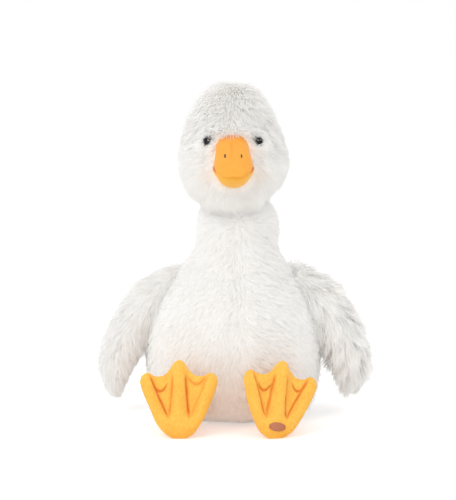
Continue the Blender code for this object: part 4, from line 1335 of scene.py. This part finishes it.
def make_small_parts(bill):
    """Eyes, washers, nostril stitches and the stitched oval."""
    eye_plastic = make_gloss_material("eye_plastic", EYE_BLACK, EYE_ROUGHNESS)
    washer_plastic = make_gloss_material("washer_plastic", WASHER_WHITE, WASHER_ROUGHNESS)
    black_thread = make_thread_material("black_thread", THREAD_BLACK)
    brown_thread = make_thread_material("brown_thread", THREAD_BROWN)
    for side in ("left", "right"):
        place_piece(make_eye(side + "_eye_dome", side, eye_plastic), "eye_plastic", side + "_eye")
        dress_cad_node(side + "_eye_washer", washer_plastic)
        nostril = make_nostril(side + "_nostril_threads", side, bill, black_thread)
        place_piece(nostril, "black_thread", side + "_nostril")
    patch = make_patch("sole_patch_threads", foot_stance(**LEFT_STANCE), brown_thread)
    place_piece(patch, "brown_thread", "sole_patch")


def add_lamp(name, place, aim, size, power, gloss_only=False):
    """A soft square lamp that points at a place, or one that only shows in glossy surfaces."""
    lamp = bpy.data.lights.new(name, "AREA")
    lamp.size = size
    lamp.energy = power
    made = bpy.data.objects.new(name, lamp)
    made.location = place
    made.rotation_euler = (place - aim).to_track_quat("Z", "Y").to_euler()
    made.visible_diffuse = not gloss_only
    made.visible_transmission = not gloss_only
    bpy.context.scene.collection.objects.link(made)


def seen_directly(tree):
    """1 for what the camera sees, also in a reflection or through glass."""
    path = tree.add("ShaderNodeLightPath")
    larger = {"operation": "MAXIMUM"}
    inputs = {0: path["Is Camera Ray"], 1: path["Is Glossy Ray"]}
    inputs = {0: tree.add("ShaderNodeMath", larger, inputs)["Value"], 1: path["Is Transmission Ray"]}
    return tree.add("ShaderNodeMath", larger, inputs)["Value"]


def make_floor():
    """A pale floor that keeps the goose's shadow, and shows a little lighter than its paint."""
    material, tree = new_material("floor_paint")
    glow = tree.mix(seen_directly(tree), colour((0.0, 0.0, 0.0)), colour([FLOOR_GLOW] * 3))
    inputs = {"Base Color": colour(FLOOR_WHITE), "Emission Color": glow, **FLOOR_FINISH}
    close_material(tree, tree.principled(inputs))
    mesh = bpy.data.meshes.new("studio_floor")
    half = FLOOR_SIZE / 2
    corners = [(-half, -half, 0), (half, -half, 0), (half, half, 0), (-half, half, 0)]
    mesh.from_pydata(corners, [], [(0, 1, 2, 3)])
    mesh.materials.append(material)
    link_object("studio_floor", mesh)


def make_surround():
    """An even white surround, seen as pure white, that lights the goose a little less."""
    world = bpy.data.worlds.new("studio")
    world.use_nodes = True
    world.node_tree.nodes.clear()
    tree = Tree(world.node_tree)
    seen = seen_directly(tree)
    strength = seen + (1.0 - seen) * WORLD_STRENGTH
    inputs = {"Color": colour((1.0, 1.0, 1.0)), "Strength": strength}
    white = tree.add("ShaderNodeBackground", {}, inputs)["Background"]
    tree.add("ShaderNodeOutputWorld", {}, {"Surface": white})
    bpy.context.scene.world = world


def make_lamps():
    """One soft key lamp, and two small ones that only glint in the eyes."""
    add_lamp("key", KEY_PLACE, MIDDLE_OF_GOOSE, KEY_SIZE, KEY_POWER)
    for place in GLINT_PLACES:
        add_lamp("glint", place, MIDDLE_OF_GOOSE, GLINT_SIZE, GLINT_POWER, gloss_only=True)


def follow_light_further():
    """White pile passes light on many times before it leaves, so more bounces than usual are followed."""
    cycles = bpy.context.scene.cycles
    cycles.max_bounces = LIGHT_BOUNCES
    cycles.diffuse_bounces = LIGHT_BOUNCES
    cycles.transmission_bounces = LIGHT_BOUNCES


def make_camera():
    """The photograph's viewing angle: from the front and a little above."""
    elevation = math.radians(CAMERA_ELEVATION)
    camera = bpy.data.cameras.new("camera")
    camera.lens = CAMERA_LENS
    camera.sensor_width = CAMERA_SENSOR
    camera.sensor_fit = "AUTO"
    made = bpy.data.objects.new("camera", camera)
    toward_camera = Vector((0.0, -math.cos(elevation), math.sin(elevation)))
    made.location = CAMERA_AIM + CAMERA_DISTANCE * toward_camera
    made.rotation_euler = (math.radians(90.0) - elevation, 0.0, 0.0)
    bpy.context.scene.collection.objects.link(made)
    bpy.context.scene.camera = made
    bpy.context.scene.view_settings.view_transform = "Standard"


make_floor()
make_surround()
make_lamps()
follow_light_further()
make_camera()
make_white_parts(make_pile_material(), make_backing_material())
make_small_parts(make_orange_parts(make_velour_material()))
